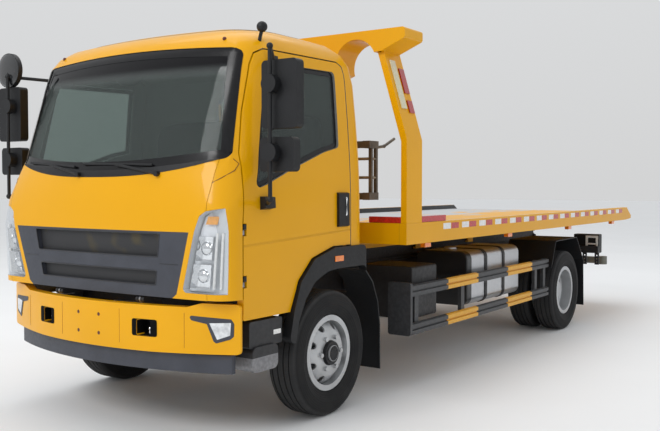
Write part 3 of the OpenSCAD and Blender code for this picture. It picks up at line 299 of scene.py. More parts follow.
lining = surface("cab_lining", toned(LINING, 0.5), 60, 0.15, (0.6, 0.75))
lamp_white = surface("lamp_liner", (0.82, 0.84, 0.87), 25, 0.06, (0.18, 0.3), metal=0.1, Coat_Weight=0.4)
lamp_turn = surface("lamp_turn", (0.85, 0.36, 0.04), 40, 0.15, (0.15, 0.25), Coat_Weight=0.6)
shut_line = surface("shut_line", (0.11, 0.02, 0.01), 40, 0.3, (0.5, 0.6))
# Darker yellow, painted shade along the bumper's pressed seams
seam_shade = surface("seam_shade", (0.42, 0.17, 0.003), 30, 0.2, (0.4, 0.5))
# Near-black painted shade for the insides and surrounds of the tow holes
hole_shade = surface("hole_shade", (0.004, 0.004, 0.0045), 20, 0.3, (0.7, 0.85), Specular_IOR_Level=0.1)
grille_edge = surface("grille_edge", (0.02, 0.021, 0.026), 30, 0.2, (0.3, 0.4))

VEIL = (0.16, 0.18, 0.175)
GLASS_TINT = (0.72, 0.78, 0.76)
BAND_BLACK = (0.004, 0.004, 0.005)
SCREEN_BAND = (2.15, 2.25)


def glass_material(name, clear, band=None):
    """A thin pane: part of the light passes straight on, and none does in a dark band."""
    g = Mat(name, VEIL, 0.03)
    share = clear
    if band:
        front = g.above(g.axis("X"), AXLE)
        shade = g.times(g.step(g.axis("Z"), *band), front)
        share = g.times(g.math("SUBTRACT", 1.0, shade), clear)
        g.color(g.mix(shade, VEIL, BAND_BLACK))
        g.to("Specular IOR Level", g.ramp(shade, 0.0, 1.0, 0.5, 0.2))
    g.see_through(GLASS_TINT, share)
    g.to("Roughness", g.grain(g.noise(12), 0.01, 0.04))
    return g.m


glass_material("glass", 0.76)
screen_glass = glass_material("screen_glass", 0.8, SCREEN_BAND)


def use(material, *names):
    """Gives CAD nodes a material in place of their own."""
    for n in names:
        NODES[n].data.materials.clear()
        NODES[n].data.materials.append(material)


for sub in frame["record"]["subparts"]:
    use(LOOKS[sub["material_slot"]], sub["node"])

# Shading of the CAD nodes
SHARP = 28
WELD = 0.00002


def shade_group():
    """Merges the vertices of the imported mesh, and shades it smooth except at sharp edges."""
    g = bpy.data.node_groups.new("soft_shade", "GeometryNodeTree")
    for way in ("INPUT", "OUTPUT"):
        g.interface.new_socket("Geometry", in_out=way, socket_type="NodeSocketGeometry")
    new = g.nodes.new
    start, end = new("NodeGroupInput"), new("NodeGroupOutput")
    drop = new("GeometryNodeRemoveAttribute")
    drop.inputs["Name"].default_value = "custom_normal"
    weld = new("GeometryNodeMergeByDistance")
    weld.inputs["Distance"].default_value = WELD
    smooth = new("GeometryNodeSetShadeSmooth")
    sharp = new("GeometryNodeSetShadeSmooth")
    sharp.domain = "EDGE"
    sharp.inputs["Shade Smooth"].default_value = False
    angle = new("GeometryNodeInputMeshEdgeAngle")
    above = new("FunctionNodeCompare")
    above.data_type = "FLOAT"
    above.operation = "GREATER_THAN"
    above.inputs[1].default_value = math.radians(SHARP)
    link(g, angle.outputs["Unsigned Angle"], above.inputs[0])
    link(g, above.outputs[0], sharp.inputs["Selection"])
    chain = [start, drop, weld, smooth, sharp, end]
    for a, b in zip(chain, chain[1:]):
        link(g, a.outputs[0], b.inputs[0])
    return g


SOFT_SHADE = shade_group()


def soften(obj):
    obj.modifiers.new("shade", "NODES").node_group = SOFT_SHADE


def round_edges(obj, width):
    edge = obj.modifiers.new("edge", "BEVEL")
    edge.width = width
    edge.segments = 2
    edge.limit_method = "ANGLE"
    edge.harden_normals = True
    return edge


def dress(obj, width):
    """Smooth shading and rounded edges for a CAD node."""
    soften(obj)
    flat = obj.modifiers.new("flat", "DECIMATE")
    flat.decimate_type = "DISSOLVE"
    flat.angle_limit = math.radians(0.3)
    edge = round_edges(obj, width)
    edge.angle_limit = math.radians(SHARP + 4)
    edge.use_clamp_overlap = True


# Small pieces
def add(name, data):
    obj = bpy.data.objects.new(name, data)
    bpy.context.scene.collection.objects.link(obj)
    return obj


def add_mesh(name, bm, material):
    mesh = bpy.data.meshes.new(name)
    bm.to_mesh(mesh)
    bm.free()
    mesh.materials.append(material)
    return add(name, mesh)


def at(x, y, z):
    return Vector((AXLE + x, y, z))


def even(a, b, n):
    """Values from a to b in n equal steps."""
    return [a + (b - a) * k / n for k in range(n + 1)]


class Shape:
    """A mesh put together from boxes, rods, tubes and patches, in metres from the front axle."""

    def __init__(self):
        self.bm = bmesh.new()

    def move(self, made, matrix):
        bmesh.ops.transform(self.bm, matrix=matrix, verts=made["verts"])
        return self

    def box(self, x, y, z, s=1):
        """A box between two ends on each axis, on the side s of the middle plane."""
        made = bmesh.ops.create_cube(self.bm, size=1.0)
        mid = at((x[0] + x[1]) / 2, s * (y[0] + y[1]) / 2, (z[0] + z[1]) / 2)
        size = (abs(x[1] - x[0]), abs(y[1] - y[0]), abs(z[1] - z[0]))
        return self.move(made, Matrix.Translation(mid) @ Matrix.Diagonal((*size, 1)))

    def rod(self, p, q, r, n=24, r2=None):
        p, q = at(*p), at(*q)
        run = q - p
        turn = run.to_track_quat("Z", "Y").to_matrix().to_4x4()
        made = bmesh.ops.create_cone(self.bm, cap_ends=True, segments=n, radius1=r,
                                     radius2=r if r2 is None else r2, depth=run.length)
        return self.move(made, Matrix.Translation((p + q) / 2) @ turn)

    def ball(self, p, r, scale=(1, 1, 1)):
        made = bmesh.ops.create_uvsphere(self.bm, u_segments=24, v_segments=14, radius=r)
        return self.move(made, Matrix.Translation(at(*p)) @ Matrix.Diagonal((*scale, 1)))

    def tube(self, points, r, n=10, closed=False):
        pts = [at(*p) for p in points]
        rings = []
        for k, p in enumerate(pts):
            a = pts[k - 1] if k or closed else p
            b = pts[(k + 1) % len(pts)] if k + 1 < len(pts) or closed else p
            turn = (b - a).to_track_quat("Z", "Y").to_matrix()
            rings.append([self.bm.verts.new(p + turn @ Vector((r * math.cos(t), r * math.sin(t), 0)))
                          for t in even(0, 2 * math.pi, n)[:-1]])
        pairs = list(zip(rings, rings[1:])) + ([(rings[-1], rings[0])] if closed else [])
        for a, b in pairs:
            for j in range(n):
                self.bm.faces.new((a[j], a[(j + 1) % n], b[(j + 1) % n], b[j]))
        if not closed:
            self.bm.faces.new(rings[0][::-1])
            self.bm.faces.new(rings[-1])
        return self

    def sheet(self, rows):
        """A strip of quads through rows of points."""
        grid = [[self.bm.verts.new(at(*p)) for p in row] for row in rows]
        for a, b in zip(grid, grid[1:]):
            for j in range(len(a) - 1):
                self.bm.faces.new((a[j], a[j + 1], b[j + 1], b[j]))
        return self

    def make(self, name, material, body, slot, bevel=0.0):
        """Turns the shape into a piece of the scene that rides on a body."""
        bmesh.ops.recalc_face_normals(self.bm, faces=self.bm.faces[:])
        obj = add_mesh(name, self.bm, material)
        soften(obj)
        if bevel:
            round_edges(obj, bevel)
        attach(obj, body)
        return obj


# The cab's level sections as in the CAD source: height, front, sweep, tuck, corner radius
SECTIONS = ((0.735, 1.060, 0.048, 0.004, 0.110), (0.860, 1.072, 0.052, 0.0, 0.120),
            (1.250, 1.098, 0.058, 0.0, 0.130), (1.420, 1.092, 0.080, 0.001, 0.150),
            (1.590, 1.068, 0.130, 0.005, 0.185), (1.700, 1.033, 0.150, 0.010, 0.200),
            (1.950, 0.948, 0.140, 0.028, 0.180), (2.200, 0.862, 0.125, 0.050, 0.160),
            (2.330, 0.812, 0.115, 0.068, 0.150), (2.400, 0.765, 0.110, 0.095, 0.170),
            (2.455, 0.690, 0.105, 0.150, 0.200))
CAB_HALF = 1.04
HALVINGS = 30
PROUD = 0.0012  # how far a thin trim stands off the paint


def section(z):
    """Front, sweep, tuck and corner radius of the cab at a height."""
    k = max(j for j in range(len(SECTIONS) - 1) if SECTIONS[j][0] <= z or j == 0)
    a, b = SECTIONS[k], SECTIONS[k + 1]
    f = (z - a[0]) / (b[0] - a[0])
    return [p + (q - p) * f for p, q in zip(a[1:], b[1:])]


def bowed(y, half, front, sweep, corner):
    """x of a bowed front with round corners."""
    u = min(1.0, max(0.0, (abs(y) - half + corner) / corner))
    return front - sweep * (y / half) ** 2 - corner * (1 - math.sqrt(1 - u * u))


def cab_front(y, z, out):
    """x of the cab's outside at the front, moved out by a little."""
    front, sweep, tuck, corner = section(z)
    return bowed(y, CAB_HALF - tuck + out, front + out, sweep, corner)


def on_cab(y, z, out):
    return (cab_front(y, z, out), y, z)


def side_y(x, z, inside):
    """y of the cab's side at a place, moved inside by a little."""
    front, sweep, tuck, corner = section(z)
    half = CAB_HALF - tuck - inside
    low, high = half - corner, half
    for _ in range(HALVINGS):
        mid = (low + high) / 2
        if bowed(mid, half, front - inside, sweep, corner) > x:
            low = mid
        else:
            high = mid
    return low


# Looks of single nodes
DECK_TOP = 1.186
# Grey tones of the painted reflection on the deck, and where it lies: across, along, in streaks, how strong,
# and its soft edge
DECK_REFLECTION_GREY, DECK_REFLECTION_GREY_DARK = (0.5, 0.51, 0.52), (0.36, 0.37, 0.38)
REFLECTION_ACROSS, REFLECTION_ALONG = (0.45, -0.65), (AXLE - 2.0, AXLE - 1.1)
REFLECTION_STREAKS = (5.0, 10.0, (0.22, 1.0, 1.0))
REFLECTION_SHARE, REFLECTION_EDGE = 0.85, (0.34, 0.5)


def deck_material():
    """Checkered deck: yellow paint with worn patches, and a painted grey reflection at the front and on the
    right.
    """
    m = Mat("deck", rough=0.45)
    worn = m.ramp(m.noise(9), 0.45, 0.75, 0.0, 0.35)
    yellow = m.mix(worn, YELLOW, (0.62, 0.34, 0.05))
    grey = m.mix(worn, DECK_REFLECTION_GREY, DECK_REFLECTION_GREY_DARK)
    reflection_reach = m.math("MAXIMUM", m.ramp(m.axis("Y"), *REFLECTION_ACROSS), m.ramp(m.axis("X"), *REFLECTION_ALONG))
    reflection_breakup = m.grain(m.noise(*REFLECTION_STREAKS), -0.5, 0.5)
    # bare marks the painted grey reflection, towards the right and the front of the deck's top
    bare = m.step(m.math("ADD", m.times(reflection_reach, REFLECTION_SHARE), reflection_breakup), *REFLECTION_EDGE)
    bare = m.times(bare, m.above(m.axis("Z"), DECK_TOP))
    m.color(m.mix(bare, yellow, grey))
    check = m.node("ShaderNodeTexWave", wave_type="BANDS", bands_direction="DIAGONAL")
    check.inputs["Scale"].default_value = 9.0
    link(m.t, m.pos, check.inputs["Vector"])
    return m.bump(check.outputs["Fac"], 0.25, 0.003).m


GUARD_BANDS = ((AXLE - 2.035, AXLE - 1.475), (AXLE - 3.26, AXLE - 2.675))
GUARD_LEVELS = ((0.404, 0.494), (0.689, 0.779))
GUARD_FACE = 1.1295


def guard_material():
    """Side guards: dark, with yellow bands on the outer faces of the rails."""
    m = Mat("guard_bands", rough=0.45)
    bands = m.math("MAXIMUM", *(m.span(m.axis("X"), *band) for band in GUARD_BANDS))
    level = m.math("MAXIMUM", *(m.span(m.axis("Z"), *z) for z in GUARD_LEVELS))
    rail = m.times(m.above(m.math("ABSOLUTE", m.axis("Y")), GUARD_FACE), level)
    speck = m.ramp(m.noise(40), *SPECK_SPAN)
    dark = m.mix(speck, (0.03, 0.031, 0.034), (0.05, 0.051, 0.055))
    yellow = m.mix(speck, (0.72, 0.36, 0.02), (0.8, 0.42, 0.03))
    m.color(m.mix(m.times(bands, rail), dark, yellow))
    return m.bump(m.noise(200), 0.1).m


LAMP_STRIP_X = AXLE - 0.815
LAMP_RIBS = 500.0


def gantry_lamp_material():
    """Lamps on the gantry's posts: a pale ribbed strip in front and red ones behind it."""
    m = Mat("gantry_lamp", rough=0.25, Coat_Weight=0.6)
    strip = m.above(m.axis("X"), LAMP_STRIP_X)
    ribs = m.math("SINE", m.times(m.axis("Z"), LAMP_RIBS))
    pale = m.tones(30, (0.62, 0.58, 0.38), (0.7, 0.66, 0.46))
    m.color(m.mix(strip, (0.4, 0.01, 0.012), pale))
    return m.bump(ribs, 0.15, 0.001).m


SIDEWALL, TREAD_R, TREAD_FADE = (0.262, 0.372), 0.385, (0.38, 0.4)
SIDEWALL_WAVES, TREAD_WAVES, TREAD_CUT = 420.0, 92.0, 0.72


def tyre_material(name, axle_x):
    """Rubber with rings on the sidewall, cuts in the tread and a little dust."""
    m = Mat(name, rough=0.75, Specular_IOR_Level=0.3)
    x = m.math("SUBTRACT", m.axis("X"), AXLE + axle_x)
    z = m.math("SUBTRACT", m.axis("Z"), WHEEL_Z)
    r = m.math("SQRT", m.math("ADD", m.times(x, x), m.times(z, z)))
    angle = m.math("ARCTAN2", z, x)
    rings = m.times(m.math("SINE", m.times(r, SIDEWALL_WAVES)), m.span(r, *SIDEWALL))
    cuts = m.above(m.math("SINE", m.times(angle, TREAD_WAVES)), TREAD_CUT)
    blocks = m.times(cuts, m.above(r, TREAD_R))
    fine = m.times(m.noise(300), 0.3)
    dust = m.ramp(m.noise(7), *SPECK_SPAN)
    side = m.mix(dust, (0.008, 0.008, 0.009), (0.015, 0.0147, 0.0147))
    tread = m.mix(dust, (0.026, 0.026, 0.027), (0.04, 0.039, 0.039))
    m.color(m.mix(m.step(r, *TREAD_FADE), side, tread))
    m.bump(m.math("ADD", m.math("SUBTRACT", m.times(rings, 0.35), blocks), fine), 0.5, 0.003)
    return m.m


RAIL_SHADED_FACE = (1.1625, 1.1635)


def rail_material():
    """Bed rails: paint, with painted shade on the inner face."""
    m = paint_material("bed_rails")
    # The dark grey on the rails' inner faces is painted shade
    side = m.span(m.math("ABSOLUTE", m.axis("Y")), *RAIL_SHADED_FACE)
    yellow = m.tones(PAINT_SCALE, toned(YELLOW, 0.95), YELLOW)
    m.color(m.mix(side, yellow, (0.03, 0.032, 0.036)))
    return m.m


TANK_SHADE_START = AXLE - 2.14


def tank_material():
    """Fuel tank: brushed metal, with painted shade on its front end."""
    m = Mat("fuel_tank")
    # The dark, non-metallic front end is painted shade
    front = m.above(m.axis("X"), TANK_SHADE_START)
    streak = m.grain(m.noise(*BRUSHED))
    metal = m.mix(streak, (0.5, 0.51, 0.53), (0.6, 0.61, 0.63))
    dark = m.mix(streak, (0.012, 0.012, 0.013), (0.02, 0.02, 0.021))
    m.color(m.mix(front, metal, dark))
    m.to("Metallic", m.ramp(front, 0.0, 1.0, 0.9, 0.0))
    m.to("Roughness", m.grain(m.noise(35), 0.28, 0.42))
    return m.bump(streak, 0.06).m


LOWER_TREAD = 0.505


def step_material():
    """Entry steps: black above, bare metal on the lower tread."""
    m = Mat("entry_steps")
    low = m.below(m.axis("Z"), LOWER_TREAD)
    speck = m.ramp(m.noise(50), *SPECK_SPAN)
    black = m.mix(speck, (0.012, 0.012, 0.014), (0.02, 0.02, 0.022))
    metal = m.mix(speck, (0.2, 0.2, 0.21), (0.28, 0.28, 0.29))
    m.color(m.mix(low, black, metal))
    m.to("Metallic", m.times(low, 0.6))
    m.to("Roughness", m.grain(m.noise(30), 0.4, 0.55))
    return m.bump(m.noise(300), 0.15, 0.001).m


LENS_TINT, LENS_CLEAR = (0.97, 0.98, 0.99), 0.88
LENS_FORWARD, LENS_ASIDE = 0.3, 0.5


def lens_material():
    """Clear on the lamp's face, and pale on the walls behind it."""
    g = Mat("lamp_lens", (0.6, 0.62, 0.64), 0.05)
    aside = g.times(g.normal("Y"), g.math("SIGN", g.axis("Y")))
    face = g.math("MAXIMUM", g.above(g.normal("X"), LENS_FORWARD), g.above(aside, LENS_ASIDE))
    g.see_through(LENS_TINT, g.times(face, LENS_CLEAR))
    g.to("Roughness", g.grain(g.noise(30), 0.04, 0.12))
    return g.m


MESH_WAVES, MESH_UPPER = 520.0, 1.06


def mesh_material():
    """Dark woven mesh, with dim brown shapes behind its upper part."""
    m = Mat("grille_mesh", rough=0.6)
    weave = m.times(*(m.math("SINE", m.times(m.axis(letter), MESH_WAVES)) for letter in "YZ"))
    behind = m.ramp(m.noise(5.0, 2.0), 0.5, 0.62)
    upper = m.above(m.axis("Z"), MESH_UPPER)
    dim = m.mix(m.times(behind, upper), (0.016, 0.016, 0.018), (0.075, 0.055, 0.012))
    m.color(m.mix(m.ramp(weave, -0.2, 0.5), dim, (0.03, 0.031, 0.034)))
    return m.bump(weave, 0.4, 0.001).m


DOOR_CREASE = (1.203, -0.0445)  # height at the front axle, and rise along x
cab_paint = lined_paint("cab_paint")
use(deck_material(), "bed_deck")
use(rail_material(), "bed_rails")
use(step_material(), "entry_steps")
use(screen_glass, "cab_glass")
use(cab_paint, "cab_shell", "front_panel")
use(lined_paint("door_paint", DOOR_CREASE), "door_left", "door_right")
use(tank_material(), "fuel_tank")
use(guard_material(), "side_guards")
use(gantry_lamp_material(), "gantry_lamps")
use(tyre_material("tyre_front", 0.0), "front_tyre_left", "front_tyre_right")
use(tyre_material("tyre_rear", REAR_AXLE), "rear_tyres_left", "rear_tyres_right")
use(lift_steel, "lift_crossbar")
use(rack_steel, "headboard_rack")
use(lens_material(), "headlamps")
use(black_plastic, "rear_lamps")
use(slate_plastic, "fog_lamps")

# Widths of the rounded edges of the CAD nodes
EDGES = {0.002: "bed_deck", 0.003: "grille winch",
         0.004: "cab_shell front_panel door_left door_right bed_rails rear_lamps",
         0.006: "gantry bumper_valance entry_steps side_boxes",
         0.008: "bumper arch_flares door_fittings_left door_fittings_right",
         0.01: "dashboard engine_block", 0.012: "fuel_tank"}
SMALL_EDGE = 0.0015
widths = {name: width for width, names in EDGES.items() for name in names.split()}
for name, obj in NODES.items():
    dress(obj, widths.get(name, SMALL_EDGE))

# Bed: pairs of reflective squares, side markers, coiled wire rope
TAPE_X, TAPE_Y, TAPE_Z, TAPE_PAIRS = -1.262, (1.222, 1.2239), (1.18, 1.226), 15
PAIR, SQUARE, NEXT = 0.325, 0.128, 0.138
BED_FRONT, BED_LENGTH = -0.69, 5.78
MARKER_SHARES, MARKER_HALF = (0.06, 0.33, 0.607, 0.874), 0.047
MARKER_Y, MARKER_Z = (1.17, 1.2125), (1.0545, 1.0893)
for s, tag in SIDES:
    red, white = Shape(), Shape()
    for k in range(TAPE_PAIRS):
        for tape, x in ((white, TAPE_X - k * PAIR), (red, TAPE_X - k * PAIR - NEXT)):
            tape.box((x - SQUARE, x), TAPE_Y, TAPE_Z, s)
    red.make(f"tape_red_{tag}", reflector_red, "bed", "paint_yellow")
    white.make(f"tape_white_{tag}", reflector_white, "bed", "paint_yellow")
    lens = Shape()
    for share in MARKER_SHARES:
        x = BED_FRONT - BED_LENGTH * share
        lens.box((x - MARKER_HALF, x + MARKER_HALF), MARKER_Y, MARKER_Z, s)
    lens.make(f"side_markers_{tag}", amber, "bed", "paint_yellow", 0.004)
DRUM_X, DRUM_Z, COIL_R, COIL_Y = -1.01, 1.34, 0.098, -0.2
ROPE_R, ROPE_PITCH, ROPE_TURNS, ROPE_STEPS = 0.0055, 0.013, 31, 24
turns = []
for k in range(ROPE_STEPS * ROPE_TURNS):
    t = 2 * math.pi * k / ROPE_STEPS
    turns.append((DRUM_X + COIL_R * math.cos(t), COIL_Y + ROPE_PITCH * k / ROPE_STEPS,
                  DRUM_Z + COIL_R * math.sin(t)))
Shape().tube(turns, ROPE_R, 8).make("winch_rope", rope, "bed", "steel")

# Mirrors, as heights and distances aside of their heads, and the round one's cap
HEADS = ((1.836, 2.224, 1.113, 1.366), (1.592, 1.788, 1.1, 1.34))
HEAD_FACE, HEAD_RIM = (0.7335, 0.7365), 0.016
ROUND_AT, ROUND_FACE, ROUND_R = (-1.236, 2.346), (0.7765, 0.779), 0.114
CAP_X, CAP_R, CAP_SCALE = 0.811, 0.121, (0.14, 1, 1)
for s, tag in SIDES:
    face = Shape()
    for z0, z1, y0, y1 in HEADS:
        face.box(HEAD_FACE, (y0 + HEAD_RIM, y1 - HEAD_RIM), (z0 + HEAD_RIM, z1 - HEAD_RIM), s)
    if s < 0:
        face.rod((ROUND_FACE[0], *ROUND_AT), (ROUND_FACE[1], *ROUND_AT), ROUND_R, 48)
    face.make(f"mirror_glass_{tag}", mirror_face, f"{tag}_door", "black_plastic", 0.004)
cap = Shape().ball((CAP_X, *ROUND_AT), CAP_R, CAP_SCALE)
cap.make("round_mirror_cap", gloss_black, "right_door", "black_plastic")

# Door handles
GRIP_X, GRIP_R = -0.163, 0.006
GRIP = ((1.0575, 1.315), (1.062, 1.325), (1.062, 1.425), (1.0575, 1.435))
for s, tag in SIDES:
    grip = Shape().tube([(GRIP_X, s * y, z) for y, z in GRIP], GRIP_R)
    grip.make(f"door_grip_{tag}", chrome, f"{tag}_door", "black_plastic")


# Outlines
def inset(points, d):
    """A closed outline moved inside by d."""
    area = sum(a[0] * b[1] - b[0] * a[1] for a, b in zip(points, points[1:] + points[:1]))
    turn = 1 if area > 0 else -1
    out = []
    for k, p in enumerate(points):
        a, b = Vector(points[k - 1]), Vector(points[(k + 1) % len(points)])
        run = (b - a).normalized()
        out.append((p[0] - turn * run.y * d, p[1] + turn * run.x * d))
    return out


RING_ROWS = 4


def ring_on(points, width, place):
    """A band inside a closed outline, moved onto a surface by place(a, b)."""
    bands = [inset(points, d) for d in even(0, width, RING_ROWS)]
    return Shape().sheet([[place(*p) for p in band + band[:1]] for band in bands])


ARC_STEPS, ARC_REACH = 6, 0.45


def rounded(points, r):
    """A closed outline with its corners rounded."""
    out = []
    for k, p in enumerate(points):
        p, a, b = Vector(p), Vector(points[k - 1]), Vector(points[(k + 1) % len(points)])
        q = min(r, (a - p).length * ARC_REACH, (b - p).length * ARC_REACH)
        e, f = p + (a - p).normalized() * q, p + (b - p).normalized() * q
        for t in even(0, 1, ARC_STEPS):
            out.append(tuple(e * (1 - t) ** 2 + p * 2 * t * (1 - t) + f * t * t))
    return out


def split(points, step):
    """A closed outline with points added so that no side is longer than step."""
    out = []
    for k, p in enumerate(points):
        p, b = Vector(p), Vector(points[(k + 1) % len(points)])
        n = max(1, math.ceil((b - p).length / step))
        out += [tuple(p + (b - p) * j / n) for j in range(n)]
    return out


# Screen: a dark surround on the glass
SCREEN_LOW, SCREEN_LOW_RISE, SCREEN_LOW_HALF = 1.604, 0.07, 0.953
SCREEN_TOP, SCREEN_TOP_DROP, SCREEN_TOP_HALF = 2.362, 0.028, 0.86
SCREEN_STEPS, SCREEN_CORNER, SCREEN_SIDE = 12, 0.045, 0.03
SURROUND_WIDTH, SURROUND_DEEP = 0.055, 0.005
shares = even(-1, 1, SCREEN_STEPS)
screen = [(SCREEN_LOW_HALF * f, SCREEN_LOW + SCREEN_LOW_RISE * f * f) for f in shares]
screen += [(SCREEN_TOP_HALF * f, SCREEN_TOP - SCREEN_TOP_DROP * f * f) for f in reversed(shares)]
outline = split(rounded(screen, SCREEN_CORNER), SCREEN_SIDE)
surround = ring_on(outline, SURROUND_WIDTH, lambda y, z: on_cab(y, z, -SURROUND_DEEP))
surround.make("screen_surround", frit, "cab", "glass")

# The screen's dark edge, which runs out over the pillars towards the top
GLASS_LOW, GLASS_TOP, GLASS_CORNER = 1.674, 2.334, 0.05
EDGE_Z, EDGE_ROWS, EDGE_COLUMNS = (1.704, 2.3337), 40, 8
LEAN, DARK_LEAN, EDGE_LAP, EDGE_LEAST = 0.093, 0.055, 0.012, 0.001
edges = Shape()
for s, _ in SIDES:
    rows = []
    for z in even(*EDGE_Z, EDGE_ROWS):
        rise = (z - GLASS_LOW) / (GLASS_TOP - GLASS_LOW)
        over = max(0.0, z - GLASS_TOP + GLASS_CORNER) / GLASS_CORNER
        y0 = SCREEN_LOW_HALF - LEAN * rise - EDGE_LAP
        y1 = SCREEN_LOW_HALF - DARK_LEAN * rise - GLASS_CORNER * (1 - math.sqrt(1 - over * over))
        y1 = max(y0 + EDGE_LEAST, y1)
        rows.append([on_cab(s * y, z, PROUD) for y in even(y0, y1, EDGE_COLUMNS)])
    edges.sheet(rows)
edges.make("screen_edges", frit, "cab", "glass")

# Cowl under the screen, a black panel that also stands in for painted shade in the gap under the glass, and
# trims inside the pillars along the doors' front edges
COWL_HALF, COWL_STEPS, COWL_ROWS, COWL_LEAST = 0.9, 60, 3, 0.0005
COWL_LOW, COWL_LOW_RISE, COWL_POWER = 1.566, 0.098, 2.6
COWL_HIGH, COWL_HIGH_HALF = 1.6075, 0.955
cowl_y = even(-COWL_HALF, COWL_HALF, COWL_STEPS)
cowl_low = [COWL_LOW + COWL_LOW_RISE * abs(y / COWL_HALF) ** COWL_POWER for y in cowl_y]
cowl_high = [max(a + COWL_LEAST, COWL_HIGH + SCREEN_LOW_RISE * (y / COWL_HIGH_HALF) ** 2)
             for a, y in zip(cowl_low, cowl_y)]
cowl = Shape().sheet([[on_cab(y, a + (b - a) * f, PROUD) for y, a, b in zip(cowl_y, cowl_low, cowl_high)]
                      for f in even(0, 1, COWL_ROWS)])
cowl.make("screen_cowl", black_plastic, "cab", "black_plastic")
DOOR_EDGE = ((1.52, 0.855), (1.7, 0.83), (1.95, 0.775), (2.23, 0.69), (2.3, 0.655))  # height, x
PILLAR_HALF, PILLAR_LOW, PILLAR_HIGH, PILLAR_CLEAR, PILLAR_DEEP = 0.955, 1.67, 0.664, 0.014, 0.016
PILLAR_INNER = (0.1, 0.03)
pillars = Shape()
for s, _ in SIDES:
    rows = []
    for z, x in DOOR_EDGE:
        edge = PILLAR_HALF - LEAN * max(0.0, z - PILLAR_LOW) / PILLAR_HIGH
        rear = x + PILLAR_CLEAR
        y = edge - EDGE_LAP
        inner = [(rear, s * (edge - d), z) for d in PILLAR_INNER]
        rows.append(inner + [(cab_front(y, z, -PILLAR_DEEP), s * y, z)])
    pillars.sheet(rows)
pillars.make("pillar_trims", lining, "cab", "slate_plastic")

# Dark seals on the door glass, as an outline of x and height
WINDOW = ((0.76, 1.492), (0.651, 1.523), (0.4, 1.617), (0.056, 1.731), (-0.117, 1.769), (-0.127, 2.268),
          (0.594, 2.252), (0.638, 2.1))
WINDOW_CORNER, WINDOW_SIDE, SEAL_WIDTH, SEAL_DEEP = 0.032, 0.025, 0.03, 0.016
for s, tag in SIDES:
    outline = split(rounded(WINDOW, WINDOW_CORNER), WINDOW_SIDE)
    seal = ring_on(outline, SEAL_WIDTH, lambda x, z: (x, s * side_y(x, z, SEAL_DEEP), z))
    seal.make(f"window_seal_{tag}", frit, f"{tag}_door", "glass")

# Headlamps: a clear face over a liner, two reflectors, light bars and an amber turn lamp
LAMP_LOW, LAMP_HIGH, LAMP_BEND = 0.905, 1.372, 1.34
LAMP_RIM, LAMP_OUTER, LAMP_FACE = 0.006, 1.034, 0.008
INNER_Y, INNER_Z, INNER_LEAN, BEND_Y, BEND_LEAN = 0.726, 0.897, 0.302, 0.862, 1.4


def lamp_inner_y(z):
    """Inner edge of the headlamp."""
    if z < LAMP_BEND:
        return INNER_Y + INNER_LEAN * (z - INNER_Z)
    return BEND_Y + BEND_LEAN * (z - LAMP_BEND)


def lamp_point(s, f, z, deep):
    """A point of a headlamp, from its inner edge at f = 0 to its outer edge at f = 1."""
    y0, y1 = lamp_inner_y(z) + LAMP_RIM, LAMP_OUTER - deep
    y = y0 + (y1 - y0) * f
    return cab_front(y, z, -deep), s * y, z


def lamp_line(s, start, end, deep, n):
    """Points between two places of a headlamp, each a share of its width and a height."""
    return [lamp_point(s, f, z, deep) for f, z in zip(*(even(a, b, n) for a, b in zip(start, end)))]


def lamp_patch(shape, s, f, z, deep, n=8):
    """A patch of the headlamp between shares f of its width and heights z, deep under its face."""
    return shape.sheet([lamp_line(s, (f[0], h), (f[1], h), deep, n) for h in even(*z, n)])


def lamp_frame(shape, s, f, z, deep):
    """Walls around a patch, from its depth out to the face."""
    corners = [(f[0], z[0]), (f[1], z[0]), (f[1], z[1]), (f[0], z[1])]
    for start, end in zip(corners, corners[1:] + corners[:1]):
        shape.sheet([lamp_line(s, start, end, d, 8) for d in (deep, LAMP_FACE)])


REFLECTORS = (((0.12, 0.62), (0.925, 1.065)), ((0.14, 0.62), (1.085, 1.225)))  # shares, heights
LINER_DEEP, REFLECTOR_DEEP, WALL_DEEP = 0.046, 0.04, 0.042
BULB_DEEP, BAR_DEEP, TURN_DEEP = 0.038, 0.018, 0.03
BULB_R, BULB_SCALE = 0.04, (0.5, 1, 1)
BAR_SHARES, BAR_R, BAR_Z, BAR_STEPS = (0.7, 0.83), 0.008, (0.925, 1.245), 12
TURN_SHARES, TURN_Z = (0.2, 0.62), (1.292, 1.338)
for s, tag in SIDES:
    liner = lamp_patch(Shape(), s, (0.0, 1.0), (LAMP_LOW, LAMP_HIGH), LINER_DEEP, 12)
    liner.make(f"lamp_liner_{tag}", lamp_white, "cab", "lamp_clear")
    bright, bulbs, bars, turn = Shape(), Shape(), Shape(), Shape()
    for f, z in REFLECTORS:
        lamp_patch(bright, s, f, z, REFLECTOR_DEEP)
        lamp_frame(bright, s, f, z, WALL_DEEP)
        bulbs.ball(lamp_point(s, sum(f) / 2, sum(z) / 2, BULB_DEEP), BULB_R, BULB_SCALE)
    for f in BAR_SHARES:
        bars.tube(lamp_line(s, (f, BAR_Z[0]), (f, BAR_Z[1]), BAR_DEEP, BAR_STEPS), BAR_R)
    lamp_patch(turn, s, TURN_SHARES, TURN_Z, TURN_DEEP)
    bright.make(f"lamp_reflectors_{tag}", chrome, "cab", "lamp_clear")
    bulbs.make(f"lamp_bulbs_{tag}", chrome, "cab", "lamp_clear")
    bars.make(f"lamp_bars_{tag}", reflector_white, "cab", "lamp_clear")
    turn.make(f"turn_lamp_{tag}", lamp_turn, "cab", "lamp_clear")

